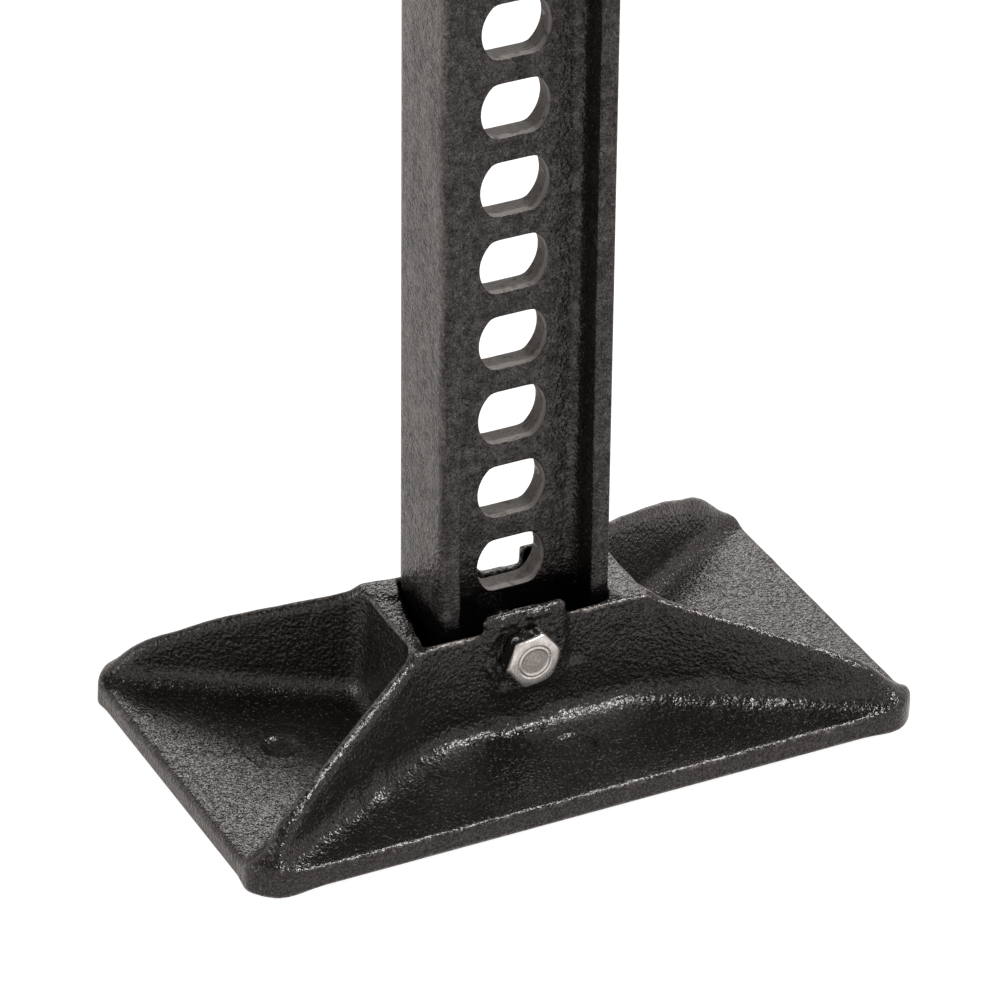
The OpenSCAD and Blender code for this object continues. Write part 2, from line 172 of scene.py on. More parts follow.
def rod(at, axis, centre, r, lo, hi, soft=0.6):
    """A round bar along an axis; centre is in the other two coordinates."""
    x, y = across(at, axis)
    side = np.sqrt((x - centre[0]) ** 2 + (y - centre[1]) ** 2) - r
    return meet(side, within(at[axis], lo, hi), soft)


def polygon(x, y, points):
    points = [np.array(point, float) for point in points]
    square = np.full(np.broadcast(x, y).shape, 1e12, F32)
    sign = np.ones(square.shape, F32)
    for i, start in enumerate(points):
        end = points[i - 1]
        edge = end - start
        dx, dy = x - start[0], y - start[1]
        along = np.clip((dx * edge[0] + dy * edge[1]) / (edge @ edge), 0, 1)
        square = np.minimum(square, (dx - edge[0] * along) ** 2 + (dy - edge[1] * along) ** 2)
        above, below, left = y >= start[1], y < end[1], edge[0] * dy > edge[1] * dx
        crossed = (above & below & left) | (~above & ~below & ~left)
        sign = np.where(crossed, -sign, sign)
    return sign * np.sqrt(square)


def slab(at, axis, points, lo, hi, soft=1.2, grow=0.0):
    """A polygon drawn across an axis, grown by grow and pulled along the axis."""
    x, y = across(at, axis)
    return meet(polygon(x, y, points) - grow, within(at[axis], lo, hi), soft)


CORNERS = [(i, j, k) for i in (0, 1) for j in (0, 1) for k in (0, 1)]


def hashed(ix, iy, iz, seed):
    mixed = (ix * 374761393 + iy * 668265263 + iz * 2147483647 + seed * 974711) & 0xFFFFFFFF
    mixed = ((mixed ^ (mixed >> 13)) * 1274126177) & 0xFFFFFFFF
    mixed = (mixed ^ (mixed >> 16)) & 0xFFFF
    return mixed.astype(F32) / 32767.5 - 1.0


def noise(at, size, seed=0):
    """Smooth value noise, -1 to 1, with lumps of about this size."""
    scaled = [np.asarray(c, np.float64) / size + 1000.0 + seed * 17.3 for c in at]
    cell = [np.floor(c).astype(np.int64) for c in scaled]
    part = [(c - base).astype(F32) for c, base in zip(scaled, cell)]
    part = [t * t * t * (t * (t * 6 - 15) + 10) for t in part]
    total = 0
    for corner in CORNERS:
        wx, wy, wz = [t if c else 1 - t for t, c in zip(part, corner)]
        total = total + wx * wy * wz * hashed(*[c + i for c, i in zip(cell, corner)], seed)
    return total


def lowered(at, z0):
    """The same points with z measured from z0."""
    return [at[0], at[1], at[2] - z0]


def mirrored(at):
    """The same points folded front to back, so one drawn piece makes two."""
    return [at[0], np.abs(at[1]), at[2]]


# ------------------------------------------------------------------ distance to mesh
EDGES = [(i, j) for i in range(8) for j in range(i + 1, 8)
         if sum(abs(a - b) for a, b in zip(CORNERS[i], CORNERS[j])) == 1]


def surface_nets(shape, lo, hi, step):
    """Mesh a shape over a grid; returns its vertices, quads and normals."""
    def field(at):
        return shape(at).astype(F32)

    size = [int(math.ceil((hi[i] - lo[i]) / step)) + 1 for i in range(3)]
    axes = [(lo[i] + step * np.arange(size[i])).astype(F32) for i in range(3)]
    grid_x, grid_y = [g[:, :, None] for g in np.meshgrid(axes[0], axes[1], indexing="ij")]
    values = np.empty(size, F32)
    layers = max(1, int(400000 / (size[0] * size[1])))
    for first in range(0, size[2], layers):
        part = axes[2][first:first + layers]
        at = [grid_x + 0 * part, grid_y + 0 * part, part + 0 * grid_x]
        values[:, :, first:first + layers] = field(at)
    inside = values < 0
    count = sum(inside[i:size[0] - 1 + i, j:size[1] - 1 + j, k:size[2] - 1 + k].astype(np.uint8)
                for i, j, k in CORNERS)
    cells = np.argwhere((count > 0) & (count < 8))
    ids = np.full([n - 1 for n in size], -1, np.int64)
    ids[tuple(cells.T)] = np.arange(len(cells))
    corner_values = np.stack([values[tuple((cells + c).T)] for c in CORNERS], 1)

    # a cell's vertex is the mean of the places where the surface crosses its edges
    total, crossings = np.zeros((len(cells), 3)), np.zeros(len(cells))
    for i, j in EDGES:
        start, end = corner_values[:, i], corner_values[:, j]
        crossed = (start < 0) != (end < 0)
        along = np.where(crossed, start / np.where(crossed, start - end, 1), 0)
        from_corner, to_corner = np.array(CORNERS[i], float), np.array(CORNERS[j], float)
        point = from_corner + (to_corner - from_corner) * along[:, None]
        total += np.where(crossed[:, None], point, 0)
        crossings += crossed
    verts = np.array(lo) + step * (cells + total / crossings[:, None])

    # every crossed grid edge makes a quad from the four cells round it
    quads = []
    for axis in range(3):
        side1, side2 = [k for k in range(3) if k != axis]
        before, after = [slice(None)] * 3, [slice(None)] * 3
        before[axis], after[axis] = slice(0, size[axis] - 1), slice(1, size[axis])
        start, end = inside[tuple(before)], inside[tuple(after)]
        edge = np.argwhere(start != end)
        for side in (side1, side2):
            edge = edge[(edge[:, side] > 0) & (edge[:, side] < size[side] - 1)]
        leaving = start[tuple(edge.T)]
        corners = []
        for back1, back2 in ((0, 0), (1, 0), (1, 1), (0, 1)):
            cell = edge.copy()
            cell[:, side1] -= back1
            cell[:, side2] -= back2
            corners.append(ids[tuple(cell.T)])
        quad = np.stack(corners, 1)
        forward = leaving if axis != 1 else ~leaving
        quads.append(np.where(forward[:, None], quad, quad[:, ::-1]))
    quads = np.concatenate(quads)
    quads = quads[(quads >= 0).all(1)]
    verts, normals = settle(field, verts, step)
    return verts, quads, normals


def gradient(field, verts, reach):
    slope = np.empty(verts.shape)
    for i in range(3):
        ahead, behind = verts.copy(), verts.copy()
        ahead[:, i] += reach
        behind[:, i] -= reach
        slope[:, i] = (field(list(ahead.T)) - field(list(behind.T))) / (2 * reach)
    return slope


def settle(field, verts, step):
    """Two Newton steps onto the surface; also returns the normals there."""
    for _ in range(2):
        slope = gradient(field, verts, step * 0.25)
        distance = field(list(verts.T))
        move = -slope * (distance / np.maximum((slope * slope).sum(1), 0.25))[:, None]
        length = np.linalg.norm(move, axis=1, keepdims=True)
        verts = verts + move * np.minimum(1, 0.5 * step / np.maximum(length, 1e-9))
    slope = gradient(field, verts, step * 0.5)
    return verts, slope / np.maximum(np.linalg.norm(slope, axis=1, keepdims=True), 1e-9)


def link_object(name, mesh):
    obj = bpy.data.objects.new(name, mesh)
    bpy.context.scene.collection.objects.link(obj)
    return obj


def net_object(name, verts, quads):
    """An object from the large arrays that surface_nets makes."""
    mesh = bpy.data.meshes.new(name)
    mesh.vertices.add(len(verts))
    mesh.vertices.foreach_set("co", (verts / 1000).astype(F32).ravel())
    mesh.loops.add(quads.size)
    mesh.loops.foreach_set("vertex_index", quads.ravel().astype(np.int32))
    mesh.polygons.add(len(quads))
    mesh.polygons.foreach_set("loop_start", np.arange(0, quads.size, 4, dtype=np.int32))
    mesh.polygons.foreach_set("loop_total", np.full(len(quads), 4, np.int32))
    mesh.polygons.foreach_set("use_smooth", np.full(len(quads), True))
    mesh.update(calc_edges=True)
    mesh.validate()
    return link_object(name, mesh)


def list_object(name, verts, faces, flat_ends=False):
    """A smooth object from lists; flat_ends leaves the faces that aren't quads flat."""
    mesh = bpy.data.meshes.new(name)
    mesh.from_pydata([tuple(c / 1000 for c in vert) for vert in verts], [], faces)
    mesh.validate()
    smooth = [not flat_ends or len(face.vertices) == 4 for face in mesh.polygons]
    mesh.polygons.foreach_set("use_smooth", smooth)
    return link_object(name, mesh)


def dress(obj, node, look):
    """Give a piece its look's material, and hide the CAD node it replaces."""
    material, slot = look
    obj.data.materials.append(material)
    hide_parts(node)


def finish(obj, body, node, look):
    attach(obj, body)
    dress(obj, node, look)


def sculpt(name, shape, lo, hi, step, body, node, look):
    """A smooth piece meshed from its distance."""
    verts, quads, _ = surface_nets(shape, lo, hi, step)
    finish(net_object(name, verts, quads), body, node, look)


# height, size of lumps and seed of each layer of a casting's uneven skin
SAND_SKIN = ((0.09, 10.0, 1), (0.05, 4.6, 2), (0.035, 2.0, 3))


def casting(name, shape, lo, hi, step, body, node, look, rough=1.0, calm=None):
    """A sand-cast piece with an uneven skin, less uneven where calm is below 1."""
    verts, quads, normals = surface_nets(shape, lo, hi, step)
    at = list(verts.T)
    skin = sum(height * noise(at, size, seed) for height, size, seed in SAND_SKIN)
    if calm is not None:
        skin = skin * np.clip(calm(at), 0, 1)
    verts = verts + normals * (skin * rough)[:, None]
    verts = np.clip(verts, np.array(lo) + 1.5 * step, np.array(hi) - 1.5 * step)
    verts = np.clip(verts, *[np.array(corner) * 1000 for corner in CAD_BOX])
    finish(net_object(name, verts, quads), body, node, look)


# ------------------------------------------------------------------ shader kit
class Value:
    """An output socket; arithmetic on it makes math nodes."""

    def __init__(self, shader, socket):
        self.shader = shader
        self.socket = socket

    def math(self, operation, first, second=None):
        return self.shader.value("Math", {0: first, 1: second}, operation=operation)

    def __add__(self, other):
        return self.math("ADD", self, other)

    def __radd__(self, other):
        return self.math("ADD", other, self)

    def __sub__(self, other):
        return self.math("SUBTRACT", self, other)

    def __rsub__(self, other):
        return self.math("SUBTRACT", other, self)

    def __mul__(self, other):
        return self.math("MULTIPLY", self, other)

    def __lt__(self, other):
        return self.math("LESS_THAN", self, other)

    def __abs__(self):
        return self.math("ABSOLUTE", self)

    def max(self, other):
        return self.math("MAXIMUM", self, other)

    def root(self):
        return self.math("SQRT", self)

    def clamp(self):
        """Hold the math node that made this value to 0..1."""
        self.socket.node.use_clamp = True
        return self

    def span(self, start, end, to=(0.0, 1.0), kind="LINEAR"):
        """Map start..end onto the two values of to."""
        inputs = dict(enumerate((self, start, end, *to)))
        return self.shader.value("MapRange", inputs, interpolation_type=kind)


class Shader:
    """Short names for the nodes that the materials and the world use."""

    def __init__(self, owner):
        owner.use_nodes = True
        self.owner, self.tree = owner, owner.node_tree
        self.tree.nodes.clear()

    def node(self, kind, inputs, **settings):
        node = self.tree.nodes.new("ShaderNode" + kind)
        for key, setting in settings.items():
            setattr(node, key, setting)
        for key, value in inputs.items():
            socket = node.inputs[key]
            if isinstance(value, Value):
                self.tree.links.new(value.socket, socket)
            elif value is not None:
                socket.default_value = (*value, 1.0) if socket.type == "RGBA" else value
        return node

    def value(self, kind, inputs={}, output=0, **settings):
        return Value(self, self.node(kind, inputs, **settings).outputs[output])

    @cached_property
    def place(self):
        return self.value("TexCoord", output="Object")

    def noise(self, size_mm, detail=2.0, rough=0.5, distort=0.0, at=None):
        inputs = {"Scale": 1000.0 / size_mm, "Detail": detail, "Roughness": rough,
                  "Distortion": distort, "Vector": at or self.place}
        return self.value("TexNoise", inputs, output="Fac")

    def cells(self, size_mm, smooth):
        inputs = {"Scale": 1000.0 / size_mm, "Smoothness": smooth, "Vector": self.place}
        return self.value("TexVoronoi", inputs, output="Distance", feature="SMOOTH_F1")

    def stretch(self, x, y, z):
        return self.value("Mapping", {"Scale": (x, y, z), "Vector": self.place})

    def xyz(self, vector=None):
        node = self.node("SeparateXYZ", {0: vector or self.place})
        return [Value(self, socket) for socket in node.outputs]

    def mix(self, factor, base, other):
        inputs = {0: factor, 6: base, 7: other}
        return self.value("Mix", inputs, output=2, data_type="RGBA")

    def pointiness(self):
        return self.value("NewGeometry", output="Pointiness")

    def principled(self, colour, rough, relief, depth_mm, strength=1.0, **more):
        """End in a principled surface with a bump; returns the material."""
        bump = {"Strength": strength, "Distance": depth_mm / 1000.0, "Height": relief}
        inputs = {"Base Color": colour, "Roughness": rough, "Normal": self.value("Bump", bump)}
        surface = self.value("BsdfPrincipled", {**inputs, **more})
        self.node("OutputMaterial", {0: surface})
        return self.owner


def new_shader(name):
    return Shader(bpy.data.materials.new(name))


# ------------------------------------------------------------------ materials
PAINT, PAINT_LIFT = (0.0042, 0.0033, 0.0030), (0.0085, 0.0070, 0.0063)
# the first colour here is a painted highlight for ridges and edges
EDGE_HIGHLIGHT, FLECK = (0.30, 0.275, 0.26), (0.10, 0.089, 0.082)
# the first colour here is painted light, the second painted shade
PAINTED_LIGHT_GREY, PAINTED_SHADE = (0.16, 0.148, 0.138), (0.0026, 0.0024, 0.0023)


def coated(name, grain, height, rough=(0.18, 0.26), sheen=1.0,
           highlight_scale=None, grey_patches=None, painted_shade=None, bare=None):
    """Black powder coat.

    grain is its orange peel's size in mm and height scales its relief. The masks take the
    shader and set where ridges and edges are lighter (a painted highlight), where grey patches
    lighten the paint (painted light), where painted shade blackens the paint and roughens its
    relief, and where metal is bare.
    """
    shader = new_shader(name)
    noise, mix = shader.noise, shader.mix
    peel = noise(grain, detail=1.6, rough=0.55)
    pebble = shader.cells(grain * 1.5, smooth=0.6)
    coarse = noise(grain * 4.0)
    cloud = noise(22.0, detail=3.0, rough=0.6)
    pits = noise(grain * 1.3, rough=0.7).span(0.60, 0.72)
    relief = peel + pebble * 0.4 + coarse * 0.7 - pits * 0.4
    flecks = noise(grain * 0.75, rough=0.6).span(0.60, 0.70)
    # ridges and edges are painted lighter: a painted highlight standing in for glints
    lighter_edges = (shader.pointiness() + (coarse - 0.5) * 0.05).span(0.522, 0.56)
    if highlight_scale:
        lighter_edges = lighter_edges * highlight_scale(shader)
    colour = mix(cloud.span(0.35, 0.7), PAINT, PAINT_LIFT)
    colour = mix(lighter_edges * peel.span(0.40, 0.58, to=(0.1, 0.85)), colour, EDGE_HIGHLIGHT)
    colour = mix(flecks * 0.62, colour, FLECK)
    glint = noise(grain * 0.5, detail=1.0).span(0.34, 0.66, to=(0.26 * sheen, 0.78 * sheen))
    specular = glint * (1.0 - pits * 0.6)
    gloss = cloud.span(0.3, 0.75, to=rough) + peel.span(0.3, 0.7, to=(0.04, -0.04))
    # grey patches: painted light on the faces that the light falls on
    if grey_patches:
        lit_patches = grey_patches(shader)
        colour = mix(lit_patches, colour, PAINTED_LIGHT_GREY)
        gloss = gloss + lit_patches * 0.22
        specular = specular * noise(2.6, detail=4.0, rough=0.7).span(0.42, 0.6, to=(0.55, 1.15))
    # painted shade: the paint blackened and its reflection dimmed; its relief is also made
    # rougher
    if painted_shade:
        shaded, shaded_rough = painted_shade(shader)
        colour = mix(shaded, colour, PAINTED_SHADE)
        relief = relief * (1.0 - shaded * 0.45) + shaded * noise(3.4) * 2.2
        gloss = (gloss + shaded * shaded_rough).clamp()
        specular = specular * (1.0 - shaded * 0.72)
    metallic = None
    if bare:
        metallic, metal_colour, metal_rough, metal_relief = bare(shader)
        colour = mix(metallic, colour, metal_colour)
        gloss = shader.value("Mix", {0: metallic, 2: gloss, 3: metal_rough})
        relief = relief * (1.0 - metallic) + metal_relief * metallic
    return shader.principled(colour, gloss, relief, depth_mm=0.24 * height,
                             **{"Specular IOR Level": specular, "Metallic": metallic})


def bar_foot_painted_shade(shader):
    """Painted shade, blacker round the bar's foot where it goes into the socket; also returns the
    change in roughness.
    """
    edge = shader.xyz()[2] * 1000.0 + shader.noise(6.0, detail=3.0) * -7.0
    return edge.span(33.0, 36.5, to=(0.96, 0.0), kind="SMOOTHSTEP"), -0.12


def bar_face_painted_light(shader):
    """Painted light: the flanges' outer faces are greyer above the socket, in long patches.
    Limits are in metres.
    """
    x, _, z = shader.xyz()
    face = abs(x).span(0.0216, 0.0222)
    long_way = shader.stretch(1.0, 1.0, 0.38)
    patch = shader.noise(9.0, detail=5.0, rough=0.72, at=long_way).span(0.42, 0.64, to=(0.0, 0.8))
    fine = shader.noise(0.9, detail=3.0, rough=0.7).span(0.38, 0.62, to=(0.05, 1.0))
    return face * z.span(0.036, 0.046) * (patch * fine)


def bar_bare(shader):
    """The slots' walls are bare: mask, colour, roughness and relief. Limits are in metres."""
    mix = shader.mix
    x, y, _ = shader.xyz()
    wall = (abs(x) < 0.0093) * (abs(y) < 0.00335)
    lines = shader.noise(0.55, detail=3.0, rough=0.75, at=shader.stretch(0.45, 1.6, 0.45))
    broad = shader.noise(3.0, detail=3.0, rough=0.6)
    sheared = (y * 1000.0 + (broad - 0.5) * 2.2).span(-1.9, -1.3)
    torn = mix(lines.span(0.3, 0.7), (0.05, 0.047, 0.043), (0.20, 0.19, 0.18))
    smooth = mix(lines.span(0.3, 0.7), (0.15, 0.143, 0.134), (0.30, 0.285, 0.27))
    colour = mix(sheared, smooth, torn)
    colour = mix(broad.span(0.56, 0.7, to=(0.0, 0.8)), colour, (0.05, 0.046, 0.043))
    return wall, colour, lines.span(0.3, 0.7, to=(0.55, 0.72)), lines * 0.9


def bar_highlight_scale(shader):
    """Only a trace of the painted edge highlight, in patches."""
    return shader.noise(14.0, detail=3.0, rough=0.6).span(0.5, 0.7) * 0.12


def place_mm(shader, count=3):
    return [c * 1000.0 for c in shader.xyz()[:count]]


def from_bolt(x, z):
    """Offset in x and distance from the foot bolt's axis."""
    dx, dz = x - BOLT_X, z - BOLT_Z
    return dx, (dx * dx + dz * dz).root()


def foot_highlight_scale(shader):
    """Scales the painted highlight on ridges and edges, which is left off round the bolt and on
    the plate.
    """
    x, y, z = place_mm(shader)
    _, radius = from_bolt(x, z)
    boss = radius.span(14.0, 18.0, to=(1.0, 0.0)) * y.span(-13.0, -11.0, to=(1.0, 0.0))
    boss = boss.max(z.span(7.2, 4.8, to=(0.0, 0.35)))
    flat = z.span(7.0, 6.4) * (abs(x).span(84.0, 82.0) * abs(y).span(47.0, 45.0))
    return (0.85 - boss.max(flat) * 0.8).clamp()


def socket_mouth_painted_shade(shader):
    """Painted shade, blacker in the socket's mouth round the bar; also returns the change in
    roughness.
    """
    mouth_x = -1.5
    x, y = place_mm(shader, 2)
    ragged = shader.noise(3.5, detail=4.0, rough=0.65)
    in_x = (abs(x - mouth_x) + ragged * 3.0).span(26.2, 27.6, to=(1.0, 0.0))
    in_y = (abs(y) + ragged * 1.0).span(14.6, 15.2, to=(1.0, 0.0))
    in_y = in_y * y.span(9.0, 10.5, to=(1.0, 0.0))
    return in_x * in_y * 0.97, -0.1


def metal(name, colour=(0.62, 0.61, 0.585), dark=(0.33, 0.32, 0.30), rough=(0.22, 0.42),
          turned=False):
    """Plated or bare steel: cloudy, finely marked, with grime in patches."""
    shader = new_shader(name)
    noise = shader.noise
    cloud = noise(3.2, detail=4.0, rough=0.6)
    fine = noise(0.45, detail=3.0, rough=0.6)
    grime = noise(1.7, detail=5.0, rough=0.65, distort=0.6)
    if turned:
        marks = noise(0.7, rough=0.7, at=shader.stretch(0.05, 1.6, 0.05))
    else:
        marks = noise(0.8, detail=3.0, rough=0.7, at=shader.stretch(1.3, 0.25, 0.4))
    tint = shader.mix(cloud.span(0.35, 0.7), colour, tuple(0.78 * c for c in colour))
    tint = shader.mix(grime.span(0.56, 0.72, to=(0.0, 0.75)), tint, dark)
    gloss = cloud.span(0.3, 0.7, to=rough) + marks.span(0.3, 0.7, to=(-0.05, 0.08))
    return shader.principled(tint, gloss, marks * 0.6 + fine * 0.5, depth_mm=0.05,
                             strength=0.7, Metallic=1.0)


def bolt_finish():
    """Bright zinc, with a duller disc on the head and paint smeared over its sides."""
    shader = new_shader("zinc_bolt_smeared")
    noise, mix = shader.noise, shader.mix
    x, y, z = place_mm(shader)
    dx, radius = from_bolt(x, z)
    cloud = noise(2.2, detail=4.0, rough=0.6)
    fine = noise(0.5, detail=3.0, rough=0.65)
    disc = radius.span(3.3, 3.5, to=(1.0, 0.0)) * y.span(FACE - 4.2, FACE - 4.0, to=(1.0, 0.0))
    colour = mix(cloud.span(0.35, 0.68), (0.74, 0.72, 0.70), (0.50, 0.485, 0.47))
    colour = mix(disc * fine.span(0.35, 0.62, to=(0.5, 1.0)), colour, (0.36, 0.345, 0.33))
    smear = (noise(3.0, detail=4.0, rough=0.65) + dx * -0.022).span(0.44, 0.50)
    side = y.span(FACE - 4.5, FACE - 3.9) * smear
    colour = mix(side, colour, (0.006, 0.0052, 0.005))
    gloss = cloud.span(0.3, 0.7, to=(0.20, 0.36)) + disc * 0.14
    relief = fine * (0.5 + disc * 1.6) + side * cloud * 3.0
    return shader.principled(colour, gloss, relief, depth_mm=0.06, Metallic=1.0 - side)


def rubber():
    shader = new_shader("grip_rubber_moulded")
    skin = shader.noise(0.35, rough=0.6)
    grey_patches = shader.noise(11.0, detail=4.0, rough=0.65)
    scuff = shader.noise(0.9, detail=3.0, rough=0.7, at=shader.stretch(1.0, 1.0, 0.2))
    colour = shader.mix(grey_patches.span(0.4, 0.7), (0.011, 0.011, 0.0115), (0.030, 0.029, 0.028))
    lighter_edges = shader.pointiness().span(0.51, 0.58) * 0.5
    colour = shader.mix(lighter_edges, colour, (0.07, 0.068, 0.066))
    gloss = grey_patches.span(0.3, 0.7, to=(0.55, 0.75)) + scuff.span(0.3, 0.7, to=(-0.06, 0.06))
    return shader.principled(colour, gloss, skin + scuff * 0.4, depth_mm=0.07, strength=0.6)


# each look is a material and the name of its slot
CAST = (coated("cast_black", grain=0.84, height=1.08, painted_shade=socket_mouth_painted_shade, highlight_scale=foot_highlight_scale),
        "black_cast_iron")
RUNNER_CAST = coated("cast_black_runner", grain=0.95, height=1.05), "black_cast_iron"
BAR_PAINT = (coated("bar_black", grain=0.85, height=0.85, rough=(0.2, 0.3), sheen=1.28,
                    painted_shade=bar_foot_painted_shade, bare=bar_bare, grey_patches=bar_face_painted_light, highlight_scale=bar_highlight_scale),
             "black_bar_steel")
TUBE_PAINT = (coated("tube_black", grain=0.6, height=0.3, rough=(0.26, 0.36)),
              "black_tube_steel")
ZINC = metal("zinc_plate"), "zinc_steel"
BOLT_ZINC = bolt_finish(), "zinc_steel"
PIN_STEEL = (metal("pin_steel", colour=(0.5, 0.49, 0.47), dark=(0.16, 0.15, 0.14),
                   rough=(0.25, 0.4), turned=True), "bare_pin_steel")
SPRING_STEEL = (metal("spring_wire", colour=(0.36, 0.36, 0.37), dark=(0.12, 0.115, 0.11),
                      rough=(0.24, 0.38)), "spring_steel")
RUBBER = rubber(), "grip_rubber"

# ------------------------------------------------------------------ the foot
# x and height of the ribs' ridge, from the socket out to past the plate's edge
RIDGE_X = np.array([20, 31, 36.5, 44, 55, 66, 73, 77, 80, 83, 85.3, 87.3, 91])
RIDGE_Z = np.array([34, 33.9, 31.3, 28.9, 25.2, 21.2, 18.3, 16.2, 13.8, 10.6, 7.0, 3.5, -4])
RIB_X, RIB_Y = 31.0, 15.2  # where a rib leaves the socket's corner
RIB_RUN = np.array([53.0, 31.2]) / math.hypot(53.0, 31.2)
PLATE_TOP = 6.0

# the ridge's height and the cosine of its slope, smoothed, along a rib
RIB_S = np.linspace(-14, 76, 361)
kernel = np.exp(-0.5 * (np.arange(-12, 13) / 5.0) ** 2)
RIB_TOP = np.pad(np.interp(RIB_S, (RIDGE_X - 31) / RIB_RUN[0], RIDGE_Z), 12, mode="edge")
RIB_TOP = np.convolve(RIB_TOP, kernel / kernel.sum(), mode="valid")
RIB_COS = 1 / np.sqrt(1 + np.gradient(RIB_TOP, RIB_S) ** 2)


def foot_rib(x, y, z, outline):
    """The four ribs: thin on the ridge, thicker towards the nose."""
    far_x, far_y = np.abs(x), np.abs(y)
    along = (far_x - RIB_X) * RIB_RUN[0] + (far_y - RIB_Y) * RIB_RUN[1]
    aside = -(far_x - RIB_X) * RIB_RUN[1] + (far_y - RIB_Y) * RIB_RUN[0]
    top = np.interp(along, RIB_S, RIB_TOP).astype(F32)
    # the back ribs stand higher than the front ones, most of all the right one
    right = 1.1 * np.clip((along - 2) / 14, 0, 1) * np.clip((58 - along) / 8, 0, 1) * (x > 0)
    top = top + (0.9 * np.clip((46 - along) / 10, 0, 1) + right) * (y > 0)
    slope = np.interp(along, RIB_S, RIB_COS).astype(F32)
    thick = 1.7 + 0.078 * np.clip(top - z, 0, 40) + 1.2 * np.clip((along - 44) / 22, 0, 1)
    rib = meet(np.abs(aside) - thick, (z - top) * slope, 2.6)
    return meet(meet(rib, -9 - along, 1.6), outline + 0.2, 2.0)


def foot_shape(at):
    x, y, z = at
    outline = round_rect(x, y, 88.95, 51.0, 11.5)
    plate = meet(meet(outline, z - PLATE_TOP, 1.7), -z, 1.0)
    rim = 34.0 + 1.0 * np.clip(y / 15.0, 0, 1)
    socket = round_rect(x, y, 31.3 + (34 - z) * 0.1, 16.0 + (34 - z) * 0.055, 1.6)
    body = Solid(meet(socket, z - rim, 1.0))
    body.add(foot_rib(x, y, z, outline), 3.6)
    body.trim(z - rim, 0.8)
    # the fillets onto the plate are uneven, most of all in front
    uneven = 2.2 * (noise(at, 13.0, 21) * 0.5 + 0.5) * np.clip((-y - 18) / 8, 0, 1)
    body.add(plate, 5.6 + uneven)
    wash = np.clip((-y - 19) / 5, 0, 1) * np.clip((46 + y) / 6, 0, 1)
    wash = wash * np.clip((z - 5.0) / 2.5, 0, 1) * np.clip((20 - z) / 6, 0, 1)
    body.sink(wash * (0.20 * noise(at, 6.0, 22) + 0.12 * noise(at, 3.1, 23)).astype(F32))
    body.trim(-z, 0.6)
    # boss for the bolt in front, and a lower one behind
    body.add(box(at, (BOLT_X - 10.9, FACE, 15), (BOLT_X + 11.6, -12.3, 38.4), 2.6), 1.8)
    body.add(box(at, (BOLT_X - 10.9, 12.6, 15), (BOLT_X + 10.9, -FACE, 30.4), 1.4), 1.8)
    # a shallow upright groove on the front boss's right
    body.cut(rod(at, 2, (BOLT_X + 13.6, -18.2), 2.5, 20, 46, 2.0), 1.2)
    # the socket's hole, whose left side runs at a slant
    left = -25.6 + 0.2168 * y
    hole = meet(meet(left - x, x - 23.3, 2.0), np.abs(y) - 14.5, 1.6)
    corner = meet(x - 23.3, np.abs(y) - 14.5, 7.0)
    hole = np.maximum(hole, corner) + 0.25 * noise(at, 5.0, 8)
    body.cut(meet(hole, 4.0 - z, 0.8), 0.9)
    # the back wall is lower behind the bolt
    body.cut(box(at, (BOLT_X - 14.2, 10, 29.6), (BOLT_X + 14.2, 24, 50), 1.2), 0.8)
    bolt = (BOLT_X, BOLT_Z)
    body.add(rod(at, 1, bolt, 5.2, 14.6, 16.8, 0.6), 0.8)
    body.cut(rod(at, 1, bolt, 4.3, -40, 10), 0.6)
    body.cut(rod(at, 1, bolt, 4.05, 9, 40), 0.4)
    # torn and smeared paint round the bolt's head
    radius = np.sqrt((x - BOLT_X) * (x - BOLT_X) + (z - BOLT_Z) * (z - BOLT_Z))
    radius = radius + 1.7 * noise(at, 3.2, 9) + 0.8 * noise(at, 1.5, 10)
    near = np.clip((-14.0 - y) / 1.0, 0, 1)
    lip = 0.22 * np.exp(-(((radius - 10.4) / 0.55) ** 2))
    body.sink(near * (0.30 * np.clip((9.6 - radius) / 0.5, 0, 1) - lip))
    body.sink(-near * 0.28 * np.clip((11.5 - radius) / 1.0, 0, 1) * noise(at, 1.2, 11))
    # a round dimple with a fine ring on the plate's left, and a round recess in front
    rise = np.abs(z - PLATE_TOP)
    radius = np.sqrt((x + 60.0) ** 2 + y**2)
    body.cut(meet(radius - 4.0, rise - 1.0, 1.4), 1.2)
    body.cut(meet(np.abs(radius - 9.0) - 0.5, rise - 0.13, 0.15), 0.15)
    radius = np.sqrt((x - 4.5) ** 2 + (y + 30.6) ** 2)
    body.cut(meet(radius - 5.1, rise - 0.7, 0.3), 0.5)
    # lumps where the front wall runs into the plate
    lump = np.clip(1 - np.abs(y + 21.0) / 7.0, 0, 1) * np.clip(1 - np.abs(x + 4) / 22.0, 0, 1)
    lump = lump * np.clip(1 - np.abs(z - 10) / 9.0, 0, 1)
    body.sink(-lump * (0.55 * noise(at, 4.0, 14) + 0.35 * noise(at, 2.0, 15)))
    return body.distance


def foot_calm(at):
    """Smooth near the floor and at the plate's two ends."""
    return np.clip(at[2] / 3.0, 0.1, 1) * np.clip((89.4 - np.abs(at[0])) / 1.2, 0.1, 1)


casting("foot_casting", foot_shape, (-90.2, -52.2, -1.3), (90.2, 52.2, 40.5), 0.6,
        "upright", "base_casting", CAST, calm=foot_calm)

# ------------------------------------------------------------------ the climbing runners
BORE_X, BORE_Y = BAR_X + 0.7, BAR_Y + 0.7


